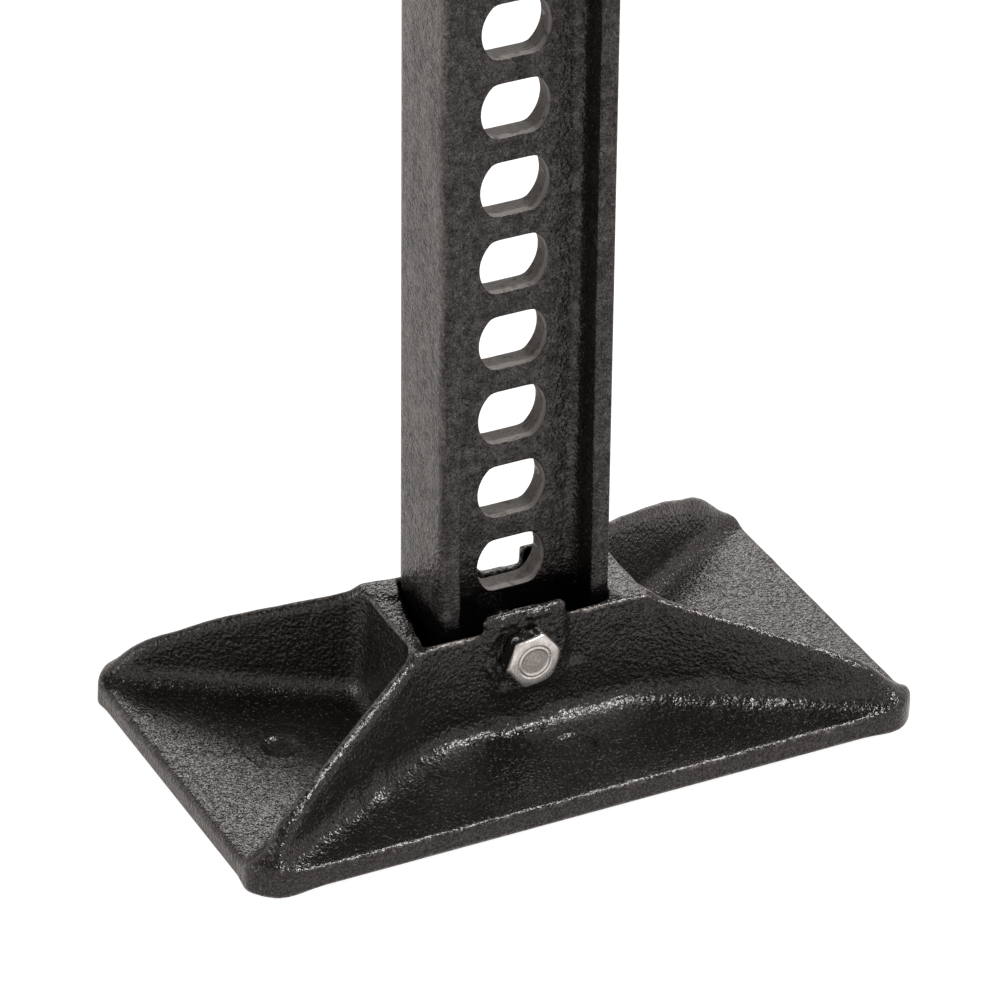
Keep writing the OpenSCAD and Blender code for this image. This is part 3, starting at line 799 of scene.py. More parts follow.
def cage(at):
    """A climbing pin's housing: two slotted cheeks, an end wall and a collar."""
    x, y, z = at
    body = Solid(box([np.abs(x), y, z], (13.5, -63.8, -12.9), (18.0, -16, 12.9), 1.2))
    body.cut(meet(np.abs(y + 33.0) - 8.7, np.abs(z) - 2.45, 1.0), 0.7)
    body.add(box(at, (-18.0, -63.9, -12.9), (18.0, -58.0, 12.9), 1.6), 2.2)
    body.add(rod(at, 1, (0, 0), 8.6, -66.4, -58, 1.5), 1.5)
    body.add(rod(at, 1, (0, 0), 11.2, -24.2, -16, 1.6), 1.6)
    return body.distance


def bore_runner(body, at):
    """Cut the upright's passage and the climbing pin's two bores."""
    bar = meet(np.abs(at[0]) - BORE_X, np.abs(at[1]) - BORE_Y, 1.0)
    body.cut(bar, 1.6)
    wide = rod(at, 1, (0, 0), 6.06, -30, 0, 0.3)
    body.cut(np.minimum(wide, rod(at, 1, (0, 0), 4.08, -72, -50, 0.3)), 0.6)


def runner_calm(at):
    """Smooth inside the passage for the upright."""
    out = np.maximum(np.abs(at[0]) - 24, np.abs(at[1]) - 13.5)
    return np.clip(out / 3.0, 0.0, 1)


def large_runner_shape(at):
    at = lowered(at, UPPER_Z)
    x, y, z = at
    both = mirrored(at)
    toe_z = -88.0
    latch_z = LATCH_Z - UPPER_Z
    # sleeve, spine and lower ring
    body = Solid(box(at, (-44, -21, -20), (30.5, 21, 34), 4.0))
    spine = [(-44, 10), (-31, 10), (-31, -122), (-44, -122)]
    body.add(slab(at, 1, spine, -14, 14, 4.0), 9.0)
    body.add(box(at, (-44, -19, -126), (30, 19, -98), 4.0), 7.0)
    # raised lips at the sleeve's two mouths
    for low, high in ((29.0, 34.0), (-20.0, -15.0)):
        body.add(box(at, (-44, -21.0, low), (30.5, 21.0, high), 1.6), 1.2)
    # the toe, its gusset below and its web above
    plan = polygon(x, y, [(-36, -18.5), (-36, 18.5), (-122, 16.5),
                          (-129.6, 11.5), (-129.6, -11.5), (-122, -16.5)])
    side = polygon(x, z, [(-36, toe_z), (-121, toe_z), (-125.5, toe_z + 4.6),
                          (-129.4, toe_z + 4.2), (-129.6, toe_z - 6), (-124, toe_z - 9.5),
                          (-60, toe_z - 13.5), (-36, toe_z - 14.5)])
    body.add(meet(plan, side, 4.2), 7.0)
    gusset = [(-38, toe_z - 8), (-38, -124), (-52, -124), (-113, toe_z - 8)]
    body.add(slab(at, 1, gusset, -5.6, 5.6, 4.0), 6.0)
    web = [(-38, toe_z - 3), (-55, toe_z - 3), (-48, toe_z + 10), (-44, toe_z + 27),
           (-38, toe_z + 27)]
    body.add(slab(at, 1, web, -13.0, 13.0, 3.0), 5.0)
    # ears for the lever's pivot
    ear = [(24, -19.5), (24, 19.5), (PIVOT_X + 2, 12.4), (PIVOT_X + 2, -12.4)]
    ear = slab(both, 1, ear, 12.6, 20.4, 1.8)
    body.add(join(ear, rod(both, 1, (PIVOT_X, 0), 12.8, 12.6, 20.4, 1.8), 1.5), 3.5)
    body.add(cage(at), 3.0)
    # boss for the latch's pin
    boss = join(rod(at, 0, (LATCH_Y, latch_z), 6.0, -17.9, 17.9, 1.4),
                box(at, (-17.9, LATCH_Y - 3.8, 5), (17.9, LATCH_Y + 1.9, latch_z), 1.0), 2.0)
    body.add(boss, 1.5)
    # round pad on the back, behind the pin
    body.add(rod(at, 1, (-2, 2), 13.0, 12, 22.6, 1.6), 2.5)
    body.trim(y - 21.0 - 1.4 * (np.hypot(x + 2, z - 2) < 16), 0.4)
    # bores, and a window from front to back
    bore_runner(body, at)
    body.cut(rod(at, 1, (PIVOT_X, 0), 6.05, -40, 40), 0.5)
    body.cut(rod(at, 0, (LATCH_Y, latch_z), 3.05, -40, 40), 0.4)
    body.cut(round_rect(x, z - 23.5, 13.0, 4.5, 2.6), 1.2)
    # room for the lever between the ears, and for the small runner inside the frame
    body.cut(box(both, (31.2, -1, -60), (90, 12.5, 60), 0.5), 0.5)
    body.cut(box(at, (-30.7, -40, -97.4), (60, 40, -20.6), 0.5), 0.8)
    return body.distance


casting("large_runner_casting", large_runner_shape, (-131.5, -68, UPPER_Z - 128),
        (62.5, 24.5, UPPER_Z + 36), 0.9, "large_runner", "large_runner", RUNNER_CAST,
        rough=0.8, calm=runner_calm)


def small_runner_shape(at):
    at = lowered(at, LOWER_Z)
    both = mirrored(at)
    ear_z = LINK_FOOT_Z - LOWER_Z
    body = Solid(box(at, (-30, -19.5, -20), (30.5, 19.5, 18), 3.5))
    for low, high in ((13.5, 18.0), (-20.0, -15.5)):
        body.add(box(at, (-30, -19.5, low), (30.5, 19.5, high), 1.4), 1.2)
    body.add(cage(at), 3.0)
    ear = [(24, ear_z - 14.5), (24, ear_z + 14.5), (LINK_FOOT_X, ear_z + 9),
           (LINK_FOOT_X, ear_z - 9)]
    ear = slab(both, 1, ear, 5.6, 12.0, 1.6)
    body.add(join(ear, rod(both, 1, (LINK_FOOT_X, ear_z), 9.0, 5.6, 12.0, 1.6), 1.5), 3.0)
    bore_runner(body, at)
    body.cut(rod(at, 1, (LINK_FOOT_X, ear_z), 4.05, -40, 40), 0.4)
    body.cut(box(both, (31.5, -1, -60), (90, 5.5, 60), 0.5), 0.5)
    return body.distance


casting("small_runner_casting", small_runner_shape, (-31.5, -68, LOWER_Z - 21.5),
        (73, 21, LOWER_Z + 19.5), 0.8, "small_runner", "small_runner", RUNNER_CAST,
        rough=0.6, calm=runner_calm)


# ------------------------------------------------------------------ latch, link, lever, clamp
def latch_shape(at):
    """The latch, drawn with its pin at y = -60, z = 18 and then tilted about that pin."""
    x, y, z = at
    tilt = math.radians(-25.0)
    dy, dz = y - LATCH_Y, z - LATCH_Z
    drawn_y = dy * math.cos(tilt) - dz * math.sin(tilt) - 60.0
    drawn_z = dy * math.sin(tilt) + dz * math.cos(tilt) + 18.0
    at = [np.abs(x), drawn_y, drawn_z]
    body = Solid(rod(at, 0, (-60, 18), 6.9, 18.7, 22.65, 1.0))
    # two side arms and their rear ends, the bridge between them, then the thumb piece
    arm = [(-64, 13), (-62, 24.6), (-31, 9.8), (-30.6, -1.4), (-36.1, -1.4), (-36.3, 4.2),
           (-58, 11.2)]
    neck = [(-60, 15), (-60, 24.8), (-72, 27.3), (-72, 21.7), (-66, 17.2)]
    bridge = [(-68, 27.2), (-76, 29.1), (-76, 24.3), (-68, 22.4)]
    thumb = [(-74, 29), (-92, 35.6), (-93.4, 31.7), (-74, 24.4)]
    for points, low, high, ease, fillet in (
        (arm, 18.7, 22.65, 1.2, 1.0),
        (neck, 18.7, 22.65, 1.2, 1.5),
        (bridge, -30, 22.65, 1.4, 1.8),
        (thumb, -30, 10.8, 1.6, 2.4),
    ):
        body.add(slab(at, 0, points, low, high, ease), fillet)
    body.add(rod(at, 0, (-92.3, 33.7), 2.7, -30, 10.9, 1.6), 1.2)
    body.cut(rod(at, 0, (-60, 18), 3.08, -50, 50), 0.4)
    return body.distance


casting("latch_casting", latch_shape, (-24, -98, UPPER_Z + 8), (24, -20, UPPER_Z + 34), 0.55,
        "latch", "reversing_latch", RUNNER_CAST, rough=0.45)


def link_shape(at):
    """The link between lever and small runner, with a wide lower eye and fluted sides."""
    top = (LINK_X, LINK_Z)
    foot = [(LINK_X - 1.7, LINK_FOOT_Z), (LINK_X + 1.7, LINK_FOOT_Z),
            (LINK_X, LINK_FOOT_Z + 0.01)]
    body = Solid(rod(at, 1, top, 8.0, -5, 5, 1.2))
    body.add(slab(at, 1, foot, -5, 5, 1.2, grow=8.4), 0.1)
    body.add(box(at, (LINK_X - 5, -4.6, LINK_FOOT_Z), (LINK_X + 5, 4.6, LINK_Z), 1.6), 3.5)
    body.trim(np.abs(at[1]) - 5.0, 0.3)
    body.cut(rod(at, 1, top, 4.08, -20, 20), 0.5)
    body.cut(slab(at, 1, foot, -20, 20, 0.5, grow=4.55), 0.5)
    for low, high in ((-20, -3.4), (3.4, 20)):
        flute = box(at, (LINK_X - 2.4, low, LINK_FOOT_Z + 15),
                    (LINK_X + 2.4, high, LINK_Z - 15), 1.0)
        body.cut(flute, 0.8)
    return body.distance


casting("pitman_link", link_shape, (LINK_X - 11.5, -6, LINK_FOOT_Z - 9.5),
        (LINK_X + 11.5, 6, LINK_Z + 9.2), 0.5, "pitman", "pitman", RUNNER_CAST, rough=0.3)


def lever_shape(at):
    """The lever: two cheeks on the pivot, and a round socket for the tube above them."""
    at = lowered(at, UPPER_Z)
    x, _, z = at
    both = mirrored(at)
    body = Solid(rod(both, 1, (PIVOT_X, 0), 12.0, 5.4, 12.0, 1.4))
    body.add(rod(both, 1, (LINK_X, LINK_Z - UPPER_Z), 9.5, 5.4, 12.0, 1.4), 2.0)
    cheek = [(36.4, 2), (42, 42), (82, 42), (69, 6.8), (56, -8.7)]
    body.add(slab(both, 1, cheek, 5.4, 12.0, 1.6), 1.5)
    body.add(slab(at, 1, [(40.2, 26), (42, 42), (82, 42), (76.6, 26)], -12, 12, 2.0), 2.5)
    body.add(rod(at, 2, (TUBE_X, 0), 21.0, 33.2, 95, 3.0), 5.0)
    body.add(rod(at, 2, (TUBE_X, 0), 22.4, 89.5, 95, 1.8), 1.5)
    body.add(rod(both, 1, (TUBE_X, 78), 9.0, 10, 22.4, 1.2), 2.5)
    # one rib up the socket's right side
    rib = [(80.5, 30), (84.3, 44), (84.3, 84), (80.5, 90), (70, 90), (70, 30)]
    body.add(slab(at, 1, rib, -3.2, 3.2, 2.0), 2.5)
    body.trim(x - 84.4, 0.8)
    body.trim(40.2 - x - 30 * (z < 28), 0.4)
    body.cut(rod(at, 2, (TUBE_X, 0), TUBE_R + 0.08, 38, 200), 0.8)
    body.cut(rod(at, 1, (PIVOT_X, 0), 6.08, -40, 40), 0.5)
    body.cut(rod(at, 1, (TUBE_X, 78), 4.25, -60, 60), 0.4)
    body.cut(box(both, (0, -1, -60), (200, 5.35, 24.8), 0.5), 0.5)
    return body.distance


def lever_calm(at):
    """Smooth inside the tube's socket."""
    return np.clip((np.hypot(at[0] - TUBE_X, at[1]) - 16.6) / 2.0, 0, 1)


casting("handle_socket_casting", lever_shape, (33, -24, UPPER_Z - 13.5),
        (86, 24, UPPER_Z + 96.5), 0.75, "handle", "handle_socket", RUNNER_CAST,
        rough=0.7, calm=lever_calm)


def clamp_shape(at):
    """The cap on the upright, with an eye above it."""
    block_top, eye_z = BAR_TOP + 14, BAR_TOP + 36
    both = mirrored(at)
    body = Solid(box(at, (-24, -19, CLAMP_Z - 22), (24, 19, block_top), 4.0))
    lug = [(-22, block_top - 3), (22, block_top - 3), (15, eye_z), (-15, eye_z)]
    lug = slab(at, 1, lug, -9, 9, 3.0)
    body.add(join(lug, rod(at, 1, (0, eye_z), 15.0, -9, 9, 3.0), 1.5), 6.0)
    body.add(rod(both, 1, (0, CLAMP_Z), 12.0, 12, 21, 1.4), 2.5)
    body.cut(meet(both[1] - (BAR_Y + 0.5), at[2] - (BAR_TOP + 0.5), 1.0), 1.4)
    body.cut(rod(at, 1, (0, eye_z), 8.0, -40, 40), 1.6)
    body.cut(rod(at, 1, (0, CLAMP_Z), 5.3, -40, 40), 0.5)
    body.trim(both[1] - 21.0, 0.3)
    return body.distance


def clamp_calm(at):
    """Smooth inside the cap."""
    _, y, z = at
    outer = np.clip((np.abs(y) - 12.8) / 2.0 + (z > BAR_TOP + 3), 0, 1)
    return np.clip((z - CLAMP_Z + 30) / 10, 0, 1) * outer


casting("top_clamp_casting", clamp_shape, (-25.5, -22.5, CLAMP_Z - 23.5),
        (25.5, 22.5, BAR_TOP + 52.5), 0.8, "upright", "top_clamp", RUNNER_CAST,
        calm=clamp_calm)

# ------------------------------------------------------------------ the slotted upright
SLOTS = [CLAMP_Z - PITCH * i for i in range(int((CLAMP_Z - 14) / PITCH) + 1)][::-1]
FLANGE_X = BAR_X + 0.25
FLANGE_IN = FLANGE_X - 5.2
FILLET = 3.2
WEB = 3.5  # half the web's thickness
WEB_END = FLANGE_IN - FILLET
STEPS = 16  # quads along each side of the square round a slot
BAR_BASE = 4.0
END_EASE = 0.5
SLOT_R, SLOT_FLAT = 9.0, 7.1

# across the web from front to back: y, and how far the slot's wall stands back
# the front edge is rolled in; the wall is smooth at first and then breaks away
SLOT_WALL = [
    (-WEB, 0.30), (-WEB + 0.06, 0.12), (-WEB + 0.2, 0.03), (-WEB + 0.5, 0.0),
    (-WEB + 0.9, 0.0), (-2.2, 0.0), (-1.6, 0.02), (-1.2, 0.12), (-0.4, 0.16), (0.6, 0.22),
    (1.6, 0.28), (WEB - 0.7, 0.34), (WEB - 0.3, 0.44), (WEB - 0.08, 0.6), (WEB, 0.8),
]
FACE_RINGS = (0.0, 0.38, 0.72, 0.9)  # from the square's edge towards the slot


def bar_outline():
    """From the web's flat at +X, y < 0, round the flange to the same place at y > 0."""
    half = []
    for turn in np.radians(np.linspace(90, 0, 7)):
        half.append((WEB_END + FILLET * math.cos(turn),
                     -WEB - FILLET + FILLET * math.sin(turn)))
    half += [(FLANGE_IN, y) for y in np.linspace(-WEB - FILLET - 1.0, -BAR_Y + 0.7, 4)]
    for turn in np.radians(np.linspace(180, 270, 4)):
        half.append((FLANGE_IN + 0.6 + 0.6 * math.cos(turn),
                     -BAR_Y + 0.6 + 0.6 * math.sin(turn)))
    for turn in np.radians(np.linspace(270, 360, 9)):
        half.append((FLANGE_X - 0.9 + 0.9 * math.cos(turn),
                     -BAR_Y + 2.6 + 2.6 * math.sin(turn)))
    points = half + [(FLANGE_X, y) for y in np.linspace(-6, 6, 7)]
    points += [(x, -y) for x, y in half[::-1]]
    keep = [points[0]]
    for point in points[1:]:
        if math.dist(point, keep[-1]) > 0.05:
            keep.append(point)
    return keep


def slot_radius(angle, grow):
    """A slot's edge at an angle: a circle cut by two flats, with its corners eased."""
    flat = (SLOT_FLAT + grow) / np.maximum(np.abs(np.sin(angle)), 1e-6)
    eased = join(np.full_like(angle, SLOT_R + grow), flat, 0.9)
    return np.where(flat > 60, SLOT_R + grow, eased)


def distinct(ids):
    return list(dict.fromkeys(ids))


class Weld:
    """Collects quads and shares the corners that coincide."""

    def __init__(self):
        self.ids, self.faces = {}, []

    def quad(self, corners, forward=True):
        keys = [tuple(np.round(c, 4)) for c in (corners if forward else corners[::-1])]
        ids = distinct([self.ids.setdefault(key, len(self.ids)) for key in keys])
        if len(ids) > 2:
            self.faces.append(ids)


def flange_point(side, x, y, z):
    """A point of the section on one side, drawn in at the bar's two ends."""
    at_end = z < BAR_BASE + 0.01 or z > BAR_TOP - 0.01
    inset = END_EASE if at_end else 0.0
    if x >= FLANGE_IN + 0.5:
        x = x * (1 - inset / FLANGE_X)
    return (side * x, y - (inset * np.sign(y) if abs(y) > 9 else 0), z)


def slot_rings(angle, square, unit, slot_z):
    """Rings from the front square's edge, through the slot, to the back square's edge."""
    def ring(points, y):
        return [(px, y, slot_z + pz) for px, pz in points]

    def face_rings(y, grow, fractions):
        rim = slot_radius(angle, grow)[:, None] * unit
        return [ring(square + (rim - square) * part, y) for part in fractions]

    rings = face_rings(-WEB, SLOT_WALL[0][1], FACE_RINGS)
    for y, back in SLOT_WALL:
        tear = 0.0
        if -1.6 < y < WEB - 0.5:
            at = [unit[:, 0] * 20, unit[:, 1] * 20 + y * 0.8, 0 * angle + slot_z]
            tear = 0.16 * noise(at, 1.6, 5)
        rings.append(ring((slot_radius(angle, back) + tear)[:, None] * unit, y))
    return rings + face_rings(WEB, SLOT_WALL[-1][1], FACE_RINGS[::-1])


def build_bar(name):
    weld = Weld()
    slot_rows = [SLOTS[0] - PITCH / 2 + PITCH * (i + j / STEPS)
                 for i in range(len(SLOTS)) for j in range(STEPS)] + [SLOTS[-1] + PITCH / 2]
    low_rows = [BAR_BASE, BAR_BASE + 0.5] + list(np.linspace(BAR_BASE + 1.5, slot_rows[0], 7))
    high_rows = list(np.linspace(slot_rows[-1], BAR_TOP - 1.5, 9)) + [BAR_TOP - 0.5, BAR_TOP]
    rows = low_rows[:-1] + slot_rows + high_rows[1:]
    outline = bar_outline()
    for side in (1, -1):
        for low, high in zip(rows[:-1], rows[1:]):
            for start, end in zip(outline[:-1], outline[1:]):
                corners = [(start, low), (end, low), (end, high), (start, high)]
                weld.quad([flange_point(side, *p, z) for p, z in corners], side > 0)

    # the web's plain front and back, below and above the slots
    columns = list(np.linspace(-WEB_END, WEB_END, STEPS + 1))
    for y in (-WEB, WEB):
        for block in (low_rows, high_rows):
            for low, high in zip(block[:-1], block[1:]):
                for x0, x1 in zip(columns[:-1], columns[1:]):
                    weld.quad([(x0, y, low), (x1, y, low), (x1, y, high), (x0, y, high)], y < 0)

    # each slot in its square of web
    half, steps = PITCH / 2, range(STEPS)
    square = [(-WEB_END + 2 * WEB_END * j / STEPS, -half) for j in steps]
    square += [(WEB_END, -half + PITCH * j / STEPS) for j in steps]
    square += [(WEB_END - 2 * WEB_END * j / STEPS, half) for j in steps]
    square += [(-WEB_END, half - PITCH * j / STEPS) for j in steps]
    square = np.array(square)
    angle = np.arctan2(square[:, 1], square[:, 0])
    unit = np.stack([np.cos(angle), np.sin(angle)], 1)
    for slot_z in SLOTS:
        rings = slot_rings(angle, square, unit, slot_z)
        for front, back in zip(rings[:-1], rings[1:]):
            for j in range(len(square)):
                j1 = (j + 1) % len(square)
                weld.quad([front[j], front[j1], back[j1], back[j]])

    # both ends are closed with rows of quads between front and back
    count = (len(outline) - 1) // 2 + 1
    front, back = outline[:count], outline[::-1][:count]
    for z, up in ((BAR_BASE, False), (BAR_TOP, True)):
        for x0, x1 in zip(columns[:-1], columns[1:]):
            weld.quad([(x0, -WEB, z), (x1, -WEB, z), (x1, WEB, z), (x0, WEB, z)], up)
        for side in (1, -1):
            for i in range(count - 1):
                corners = (front[i], front[i + 1], back[i + 1], back[i])
                weld.quad([flange_point(side, *p, z) for p in corners], up != (side < 0))
    return list_object(name, list(weld.ids), weld.faces)


finish(build_bar("slotted_bar"), "upright", "rack_bar", BAR_PAINT)


# ------------------------------------------------------------------ turned parts and wire
def place(across1, across2, along, origin, axis):
    x, y, z = origin
    if axis == "z":
        return (x + across1, y + across2, z + along)
    if axis == "y":
        return (x + across2, y + along, z + across1)
    return (x + along, y + across1, z + across2)


def lathe(name, profile, origin, axis, sides, relief=None):
    """Turn a profile of (radius, place along the axis); relief adds to the radius."""
    verts, rows, faces = [], [], []
    for radius, along in profile:
        if radius < 1e-6:
            rows.append([len(verts)] * sides)
            verts.append(place(0, 0, along, origin, axis))
            continue
        row = []
        for turn in np.linspace(0, 2 * math.pi, sides, endpoint=False):
            out = radius if relief is None else radius + relief(turn, along, radius)
            row.append(len(verts))
            verts.append(place(out * math.cos(turn), out * math.sin(turn), along, origin, axis))
        rows.append(row)
    for low, high in zip(rows[:-1], rows[1:]):
        for j in range(sides):
            j1 = (j + 1) % sides
            face = distinct((low[j], low[j1], high[j1], high[j]))
            if len(face) > 2:
                faces.append(face)
    return list_object(name, verts, faces)


def rounded(points, ease, steps=3):
    """A profile with its inner corners eased."""
    curve = []
    for i, point in enumerate(points):
        point = np.array(point, float)
        if i in (0, len(points) - 1):
            curve.append(tuple(point))
            continue
        before = np.array(points[i - 1], float) - point
        after = np.array(points[i + 1], float) - point
        before_len, after_len = np.linalg.norm(before), np.linalg.norm(after)
        reach = min(ease, before_len * 0.45, after_len * 0.45)
        for t in np.linspace(0, 1, steps + 1):
            curve.append(tuple(point + (1 - t) ** 2 * before / before_len * reach
                               + t**2 * after / after_len * reach))
    return curve


def wire(name, path, radius, sides):
    """A round wire along a path of points."""
    path = np.asarray(path, float)
    tangents = np.gradient(path, axis=0)
    tangents /= np.linalg.norm(tangents, axis=1, keepdims=True)
    normal = np.cross(tangents[0], (0.3, 0.5, 0.8))
    normal /= np.linalg.norm(normal)
    verts = []
    for point, tangent in zip(path, tangents):
        normal = normal - tangent * (normal @ tangent)
        normal /= np.linalg.norm(normal)
        other = np.cross(tangent, normal)
        for k in range(sides):
            turn = 2 * math.pi * k / sides
            verts.append(point + radius * (normal * math.cos(turn) + other * math.sin(turn)))
    faces = []
    for i in range(len(path) - 1):
        for k in range(sides):
            here, beside = i * sides + k, i * sides + (k + 1) % sides
            faces.append((here, beside, beside + sides, here + sides))
    faces.append(tuple(range(sides))[::-1])
    faces.append(tuple((len(path) - 1) * sides + k for k in range(sides)))
    return list_object(name, verts, faces, flat_ends=True)


# ------------------------------------------------------------------ bolts and nuts
def hexagon(x, z, flats, turn):
    shape = None
    for k in range(3):
        angle = turn + k * math.pi / 3
        pair = np.abs(x * math.cos(angle) + z * math.sin(angle)) - flats / 2
        shape = pair if shape is None else meet(shape, pair, 0.45)
    return shape


def thread(angle, radius, along, r, pitch):
    phase = along / pitch - angle / (2 * math.pi)
    wave = np.abs(phase - np.floor(phase) - 0.5) * 2
    return (radius - (r - 0.54 * pitch * 0.9 * (1 - np.clip(wave * 1.15, 0, 1)))) * 0.85


def bolt_shape(x0, z0, seat, tip, r, flats, head, turn, pitch):
    """A hex bolt along y: its head is in front of seat and its thread ends at tip."""
    def shape(at):
        x, y, z = at[0] - x0, at[1], at[2] - z0
        radius = np.sqrt(x * x + z * z)
        top = seat - head
        # a chamfered head, a plain raised ring on it and a washer face under it
        bolt = Solid(meet(hexagon(x, z, flats, turn), top - y, 0.5))
        bolt.trim((radius - (flats * 0.478 + (y - top) * 1.732)) * 0.5, 0.35)
        bolt.trim(y - seat + 0.4, 0.3)
        bolt.cut(meet(radius - flats * 0.335, y - (top + 0.28), 0.25), 0.3)
        square = (radius - flats * 0.29) ** 2 + (y - (top + 0.28)) ** 2
        bolt.add(np.sqrt(np.maximum(square, 1e-9)) - 0.34, 0.25)
        bolt.trim(top - y, 0.2)
        bolt.add(meet(radius - flats * 0.46, np.abs(y - (seat - 0.3)) - 0.3, 0.2), 0.2)
        # the plain shank, then the thread with its chamfered tip
        plain = (tip - seat) * 0.35
        bolt.add(meet(radius - r, np.abs(y - (seat + plain - 1)) - (plain + 1), 0.3), 0.4)
        screw = Solid(thread(np.arctan2(z, x), radius, y, r, pitch))
        screw.trim(radius - (r - 0.05), 0.15)
        screw.trim((y - tip) + np.maximum(radius - (r - 1.2), 0) * 0.8, 0.3)
        screw.trim((seat + 1) - y, 0.3)
        bolt.add(screw.distance, 0.15)
        return bolt.distance

    return shape


def nut_shape(x0, z0, y0, height, r, flats, turn):
    def shape(at):
        x, y, z = at[0] - x0, at[1], at[2] - z0
        radius = np.sqrt(x * x + z * z)
        half = height / 2
        nut = Solid(meet(hexagon(x, z, flats, turn), np.abs(y - y0 - half) - half, 0.4))
        for depth in (y - y0, y0 + height - y):
            nut.trim((radius - (flats * 0.48 + depth * 1.732)) * 0.5, 0.35)
        nut.cut(radius - r - 0.12, 0.3)
        return nut.distance

    return shape


def fastener(tag, bolt, nut, body, r, flats, head, nut_height, turn, pitch):
    lo, hi = [corner * 1000 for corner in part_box(bolt)]
    x0, z0 = (lo.x + hi.x) / 2, (lo.z + hi.z) / 2
    reach = flats * 0.6
    small = r < 4.5
    shape = bolt_shape(x0, z0, lo.y + head, hi.y, r, flats, head, turn, pitch)
    sculpt(tag + "_bolt", shape, (x0 - reach, lo.y - 0.6, z0 - reach),
           (x0 + reach, hi.y + 0.6, z0 + reach), 0.24 if small else 0.32, body, bolt, ZINC)
    front, back = ends(nut, 1)
    shape = nut_shape(x0, z0, front, nut_height, r, flats, turn + 0.35)
    sculpt(tag + "_nut", shape, (x0 - reach, front - 0.6, z0 - reach),
           (x0 + reach, back + 0.6, z0 + reach), 0.26 if small else 0.32, body, nut, ZINC)


tip = ends("base_bolt", 1)[1]
foot_bolt = bolt_shape(BOLT_X, BOLT_Z, FACE, tip, r=4.0, flats=13.0, head=BOLT_HEAD,
                       turn=math.radians(9.7 - 30.0), pitch=1.25)
sculpt("foot_bolt", foot_bolt, (BOLT_X - 8, FACE - 5.5, BOLT_Z - 8),
       (BOLT_X + 8, tip + 0.5, BOLT_Z + 8), 0.2, "upright", "base_bolt", BOLT_ZINC)
fastener("clamp", "top_clamp_bolt", "top_clamp_nut", "upright",
         r=5.0, flats=16.0, head=6.4, nut_height=8.4, turn=0.3, pitch=1.5)
fastener("pivot", "handle_pivot_bolt", "handle_pivot_nut", "large_runner",
         r=6.0, flats=19.0, head=7.5, nut_height=10.4, turn=0.1, pitch=1.75)
fastener("socket", "socket_bolt", "socket_nut", "handle",
         r=4.0, flats=13.0, head=5.3, nut_height=6.5, turn=0.6, pitch=1.25)


# ------------------------------------------------------------------ pins and springs
def climbing_pin(tag, z, body):
    node = tag + "_climbing_pin"
    front, back = ends(node, 1)
    profile = rounded([(0, front), (3.0, front), (4.0, front + 1.2), (4.0, -42), (6.0, -42),
                       (6.0, back - 2.4), (4.1, back), (0, back)], 0.5)
    finish(lathe(node + "_turned", profile, (0, 0, z), "y", 72), body, node, PIN_STEEL)


def cross_pin(tag, z, body):
    """A small pin across the climbing pin, with a hollow left end."""
    node = tag + "_cross_pin"
    left, right = ends(node, 0)
    hollow = left + 2
    profile = [(0, hollow)] + rounded(
        [(0.9, hollow), (0.9, left), (1.5, left), (1.98, left + 0.9), (1.98, right - 0.9),
         (1.5, right), (0.9, right), (0.9, right - 2), (0, right - 2)], 0.25)
    pin = lathe(node + "_turned", profile, (0, middle(node)[1], z), "x", 40)
    finish(pin, body, node, SPRING_STEEL)


def pin_spring(tag, z, body):
    """A coil with closed ends between its housing and its pin."""
    turns, steps_per_turn, radius = 6.2, 36, 5.55
    t = np.linspace(0, 1, int(turns * steps_per_turn) + 1)
    y = -56.9 + 14.3 * np.clip((t * turns - 0.9) / (turns - 1.8), 0, 1)
    angle = 2 * math.pi * turns * t
    path = np.stack([radius * np.cos(angle), y, z + radius * np.sin(angle)], 1)
    spring = wire(tag + "_spring_coil", path, 0.92, 12)
    z / 1000
    z / 1000
    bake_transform(spring)
    dress(spring, tag + "_pin_spring", SPRING_STEEL)


for tag, z, runner in (("upper", UPPER_Z, "large_runner"), ("lower", LOWER_Z, "small_runner")):
    climbing_pin(tag, z, tag + "_pin")
    cross_pin(tag, z, tag + "_pin")
    pin_spring(tag, z, tag + "_pin")

left, right = ends("latch_pin", 0)
profile = rounded([(0, left), (2.5, left), (3.0, left + 0.6), (3.0, right - 2.1),
                   (5.0, right - 2.1), (5.0, right - 0.5), (4.2, right), (0, right)], 0.35)
pin = lathe("latch_pin_turned", profile, (0, LATCH_Y, LATCH_Z), "x", 56)
finish(pin, "large_runner", "latch_pin", ZINC)


def torsion_spring():
    """A coil round the latch's pin, with a straight leg at each end."""
    t = np.linspace(0, 1, 160)
    angle = 2 * math.pi * (3.25 * t + 0.15)
    coil = np.stack([left + 0.9 + 5.6 * t, LATCH_Y + 4.7 * np.cos(angle),
                     LATCH_Z + 4.7 * np.sin(angle)], 1)
    back_along = np.array([0, math.sin(angle[0]), -math.cos(angle[0])])
    on_along = np.array([0, -math.sin(angle[-1]), math.cos(angle[-1])])
    first_leg = coil[0] + back_along * np.linspace(9, 0.4, 14)[:, None]
    last_leg = coil[-1] + on_along * np.linspace(0.4, 11, 16)[:, None]
    path = np.concatenate([first_leg, coil, last_leg])
    spring = wire("latch_torsion_spring", path, 0.8, 10)
    finish(spring, "latch", "latch_spring", SPRING_STEEL)


torsion_spring()

front, back = ends("pitman_upper_pin", 1)
profile = rounded([(0, front), (3.3, front), (3.98, front + 0.8), (3.98, back - 0.8),
                   (3.3, back), (0, back)], 0.25)
pin = lathe("pitman_upper_pin_turned", profile, (LINK_X, 0, LINK_Z), "y", 56)
finish(pin, "handle", "pitman_upper_pin", ZINC)

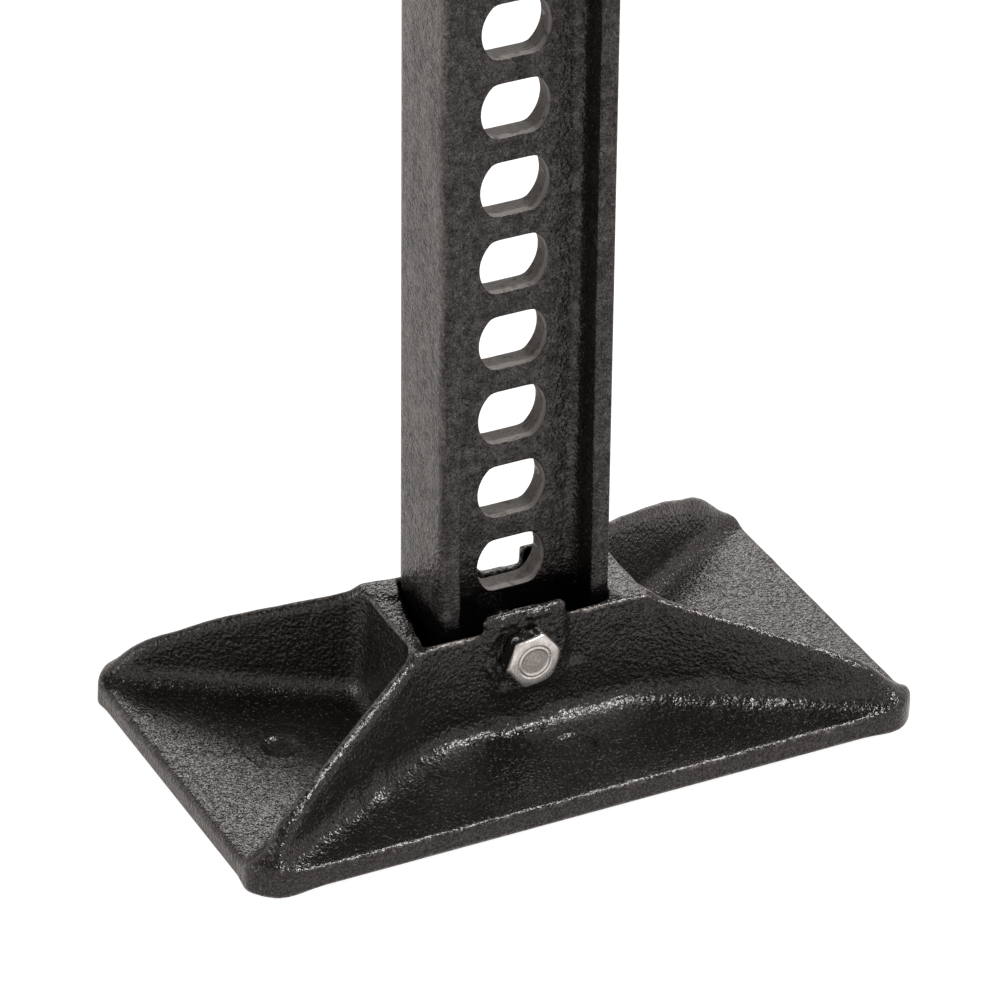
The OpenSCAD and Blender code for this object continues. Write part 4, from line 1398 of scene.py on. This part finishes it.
front, back = ends("pitman_lower_pin", 1)
profile = rounded([(0, front), (5.6, front), (6.4, front + 0.7), (6.4, front + 3.1),
                   (4.0, front + 3.1), (4.0, back - 1.2), (3.0, back), (0, back)], 0.3)
pin = lathe("pitman_lower_pin_turned", profile, (LINK_FOOT_X, 0, LINK_FOOT_Z), "y", 56)
finish(pin, "small_runner", "pitman_lower_pin", ZINC)


def split_pin():
    """One wire: a spread tail, up a leg, round the eye, and down to the other tail."""
    y, top = middle("cotter_pin")[1], ends("cotter_pin", 2)[1]
    x, leg_foot = LINK_FOOT_X, LINK_FOOT_Z - 5.2
    leg_top, leg_x, eye_r = top - 6.6, 0.62, 2.3

    def tail(side, spread, drop, turns):
        return [(x + side * (leg_x + spread * math.sin(turn)), y,
                 leg_foot - drop * (1 - math.cos(turn)) - 0.4 * turn) for turn in turns]

    path = tail(-1, 2.9, 1.5, np.linspace(1.3, 0.15, 8))
    path += [(x - leg_x, y, z) for z in np.linspace(leg_foot, leg_top, 12)]
    path += [(x + eye_r * math.cos(turn), y, top - 3.2 + eye_r * math.sin(turn))
             for turn in np.radians(np.linspace(-60, 240, 40))[::-1]]
    path += [(x + leg_x, y, z) for z in np.linspace(leg_top, leg_foot, 12)]
    path += tail(1, 3.4, 1.6, np.linspace(0.15, 1.3, 8))
    finish(wire("split_pin", path, 0.55, 10), "small_runner", "cotter_pin", ZINC)


split_pin()


# ------------------------------------------------------------------ tube, grip and keeper
def handle_tube():
    inner = TUBE_R - 3
    corners = rounded([(inner, TUBE_BASE + 20), (inner, TUBE_BASE), (TUBE_R, TUBE_BASE),
                       (TUBE_R, TUBE_TOP - 1), (TUBE_R - 1, TUBE_TOP), (inner, TUBE_TOP),
                       (inner, TUBE_BASE + 20)], 0.5)
    profile = []
    for (r0, z0), (r1, z1) in zip(corners[:-1], corners[1:]):
        count = max(1, int(abs(z1 - z0) / 12))
        profile += [(r0 + (r1 - r0) * i / count, z0 + (z1 - z0) * i / count)
                    for i in range(count)]
    profile.append(corners[-1])
    tube = lathe("handle_tube_drawn", profile, (TUBE_X, 0, 0), "z", 96)
    finish(tube, "handle", "handle_tube", TUBE_PAINT)


handle_tube()

GRIP_BASE, GRIP_TOP = ends("handle_grip", 2)
GRIP_R = TUBE_R + 3.0


def diamonds(turn, z, radius):
    """Crossed spiral grooves along the middle of the grip."""
    if radius < GRIP_R - 0.1 or z < GRIP_BASE + 14 or z > GRIP_TOP - 12:
        return 0.0
    fade = min(1.0, (z - GRIP_BASE - 14) / 3.0, (GRIP_TOP - 12 - z) / 3.0)
    round_way = 14 * turn / (2 * math.pi)
    long_way = (z - GRIP_BASE) / 8.5
    groove = min(abs((round_way + way) % 1 - 0.5) for way in (long_way, -long_way)) * 2
    return -0.62 * fade * max(0.0, 1 - groove / 0.34) ** 0.7


def grip():
    base, top, r = GRIP_BASE, GRIP_TOP, GRIP_R
    flange, collar = TUBE_R + 5, r + 0.8
    profile = [(TUBE_R + 0.05, base + 60), (TUBE_R + 0.05, base + 0.6), (TUBE_R + 1.2, base)]
    profile += rounded([(TUBE_R + 1.2, base), (flange, base), (flange, base + 6),
                        (r, base + 8.5), (r, base + 14)], 1.1, 4)
    profile += [(r, z) for z in np.arange(base + 14.8, top - 12, 0.8)]
    profile += rounded([(r, top - 12), (r, top - 8), (collar, top - 6.5), (collar, top - 3.5),
                        (r - 2.2, top), (6, top - 0.15), (4, top - 1.4), (0, top - 1.4)], 1.0, 4)
    piece = lathe("rubber_grip", profile, (TUBE_X, 0, 0), "z", 168, diamonds)
    finish(piece, "handle", "handle_grip", RUBBER)


grip()

KEEPER_BASE, KEEPER_TOP = ends("handle_keeper", 2)


def keeper_shape(at):
    """A band round the tube with a raised bead, and two lipped arms reaching left."""
    x, y, z = at
    far_y = np.abs(y)
    radius = np.hypot(x - TUBE_X, y)
    rise = np.abs(z - (KEEPER_BASE + KEEPER_TOP) / 2)
    body = Solid(np.abs(radius - 17.05) - 0.95)
    body.add(np.maximum(np.abs(far_y - 13.55) - 0.9, np.maximum(20 - x, x - 51.5)), 1.6)
    body.add(np.hypot(x - 20.5, far_y - 14.1) - 1.45, 1.0)
    body.trim(16.03 - radius, 0.2)
    body.trim(rise - (KEEPER_TOP - KEEPER_BASE) / 2, 0.7)
    body.add(meet(np.abs(radius - 17.6) - 0.7, rise - 2.2, 0.8), 0.9)
    body.trim(16.03 - radius, 0.2)
    return body.distance


sculpt("keeper_band", keeper_shape, (17, -19.5, KEEPER_BASE - 1), (82, 19.5, KEEPER_TOP + 1),
       0.42, "handle", "handle_keeper", SPRING_STEEL)

# ------------------------------------------------------------------ floor, light and camera
# from here on, lengths are in metres
WHITE, WARM = (1, 1, 1), (1.0, 0.94, 0.915)


def floor_material():
    """A glowing floor: white to the camera, a little warmer and dimmer to other rays."""
    shader = new_shader("studio_floor")
    seen = shader.value("LightPath", output="Is Camera Ray")
    glow = shader.value("Emission", {"Color": shader.mix(seen, WARM, WHITE),
                                     "Strength": seen.span(0.0, 1.0, to=(0.86, 0.93))})
    matt = shader.value("BsdfDiffuse", {"Color": (0.16, 0.16, 0.16)})
    shader.node("OutputMaterial", {0: shader.value("AddShader", {0: glow, 1: matt})})
    return shader.owner


HALF, FLOOR_Z = 30.0, -0.0004
floor_mesh = bpy.data.meshes.new("floor")
floor_mesh.from_pydata([(x * HALF, y * HALF, FLOOR_Z)
                        for x, y in ((-1, -1), (1, -1), (1, 1), (-1, 1))], [], [(0, 1, 2, 3)])
floor = link_object("floor", floor_mesh)
floor.data.materials.append(floor_material())


def studio_world():
    """White to the camera; to other rays warm, and dim towards the zenith."""
    world = bpy.data.worlds.new("studio")
    bpy.context.scene.world = world
    shader = Shader(world)
    height = shader.xyz(shader.value("TexCoord", output="Generated"))[2]
    strength = height.span(0.62, 0.9, to=(1.0, 0.14))
    lit = shader.value("Background", {"Color": WARM, "Strength": strength})
    shown = shader.value("Background", {"Color": WHITE, "Strength": 1.05})
    seen = shader.value("LightPath", output="Is Camera Ray")
    surface = shader.value("MixShader", {0: seen, 1: lit, 2: shown})
    shader.node("OutputWorld", {0: surface})


studio_world()


def soft_light(name, at, look, size, power, color):
    light = bpy.data.lights.new(name, "AREA")
    light.shape = "RECTANGLE"
    light.size, light.size_y = size
    light.energy = power
    light.color = color
    lamp = link_object(name, light)
    lamp.location = at
    lamp.rotation_mode = "QUATERNION"
    lamp.rotation_quaternion = (Vector(look) - Vector(at)).to_track_quat("-Z", "Y")


soft_light("overhead", at=(0.72, -0.5, 1.9), look=(0, 0, 0.05), size=(1.0, 0.8),
           power=48.0, color=(1.0, 0.985, 0.965))
soft_light("left_side", at=(-1.7, 0.3, 0.75), look=(0, 0, 0.1), size=(0.6, 1.0),
           power=8.0, color=(1.0, 0.985, 0.96))
soft_light("back_right", at=(0.75, 1.5, 1.0), look=(0.02, 0, 0.02), size=(0.9, 0.5),
           power=7.0, color=(1.0, 0.99, 0.975))

scene = bpy.context.scene
camera = bpy.data.cameras.new("camera")
camera_object = link_object("camera", camera)
scene.camera = camera_object
camera.sensor_fit = "HORIZONTAL"
camera.sensor_width = 36.0
camera.lens = 223.20864
camera.shift_x, camera.shift_y = 0.005157, -0.008387
camera.clip_start, camera.clip_end = 0.05, 80.0
right = Vector((0.89653253, -0.44288318, 0.00916038))
up = Vector((0.22307931, 0.46925396, 0.85442164))
forward = Vector((0.38270752, 0.7639733, -0.51949952))
pose = Matrix((right, up, -forward)).transposed().to_4x4()
pose.translation = Vector((-0.573688, -1.139682, 0.837816))
camera_object.matrix_world = pose

scene.view_settings.view_transform = "Standard"
scene.view_settings.look = "None"
scene.view_settings.gamma = 0.93
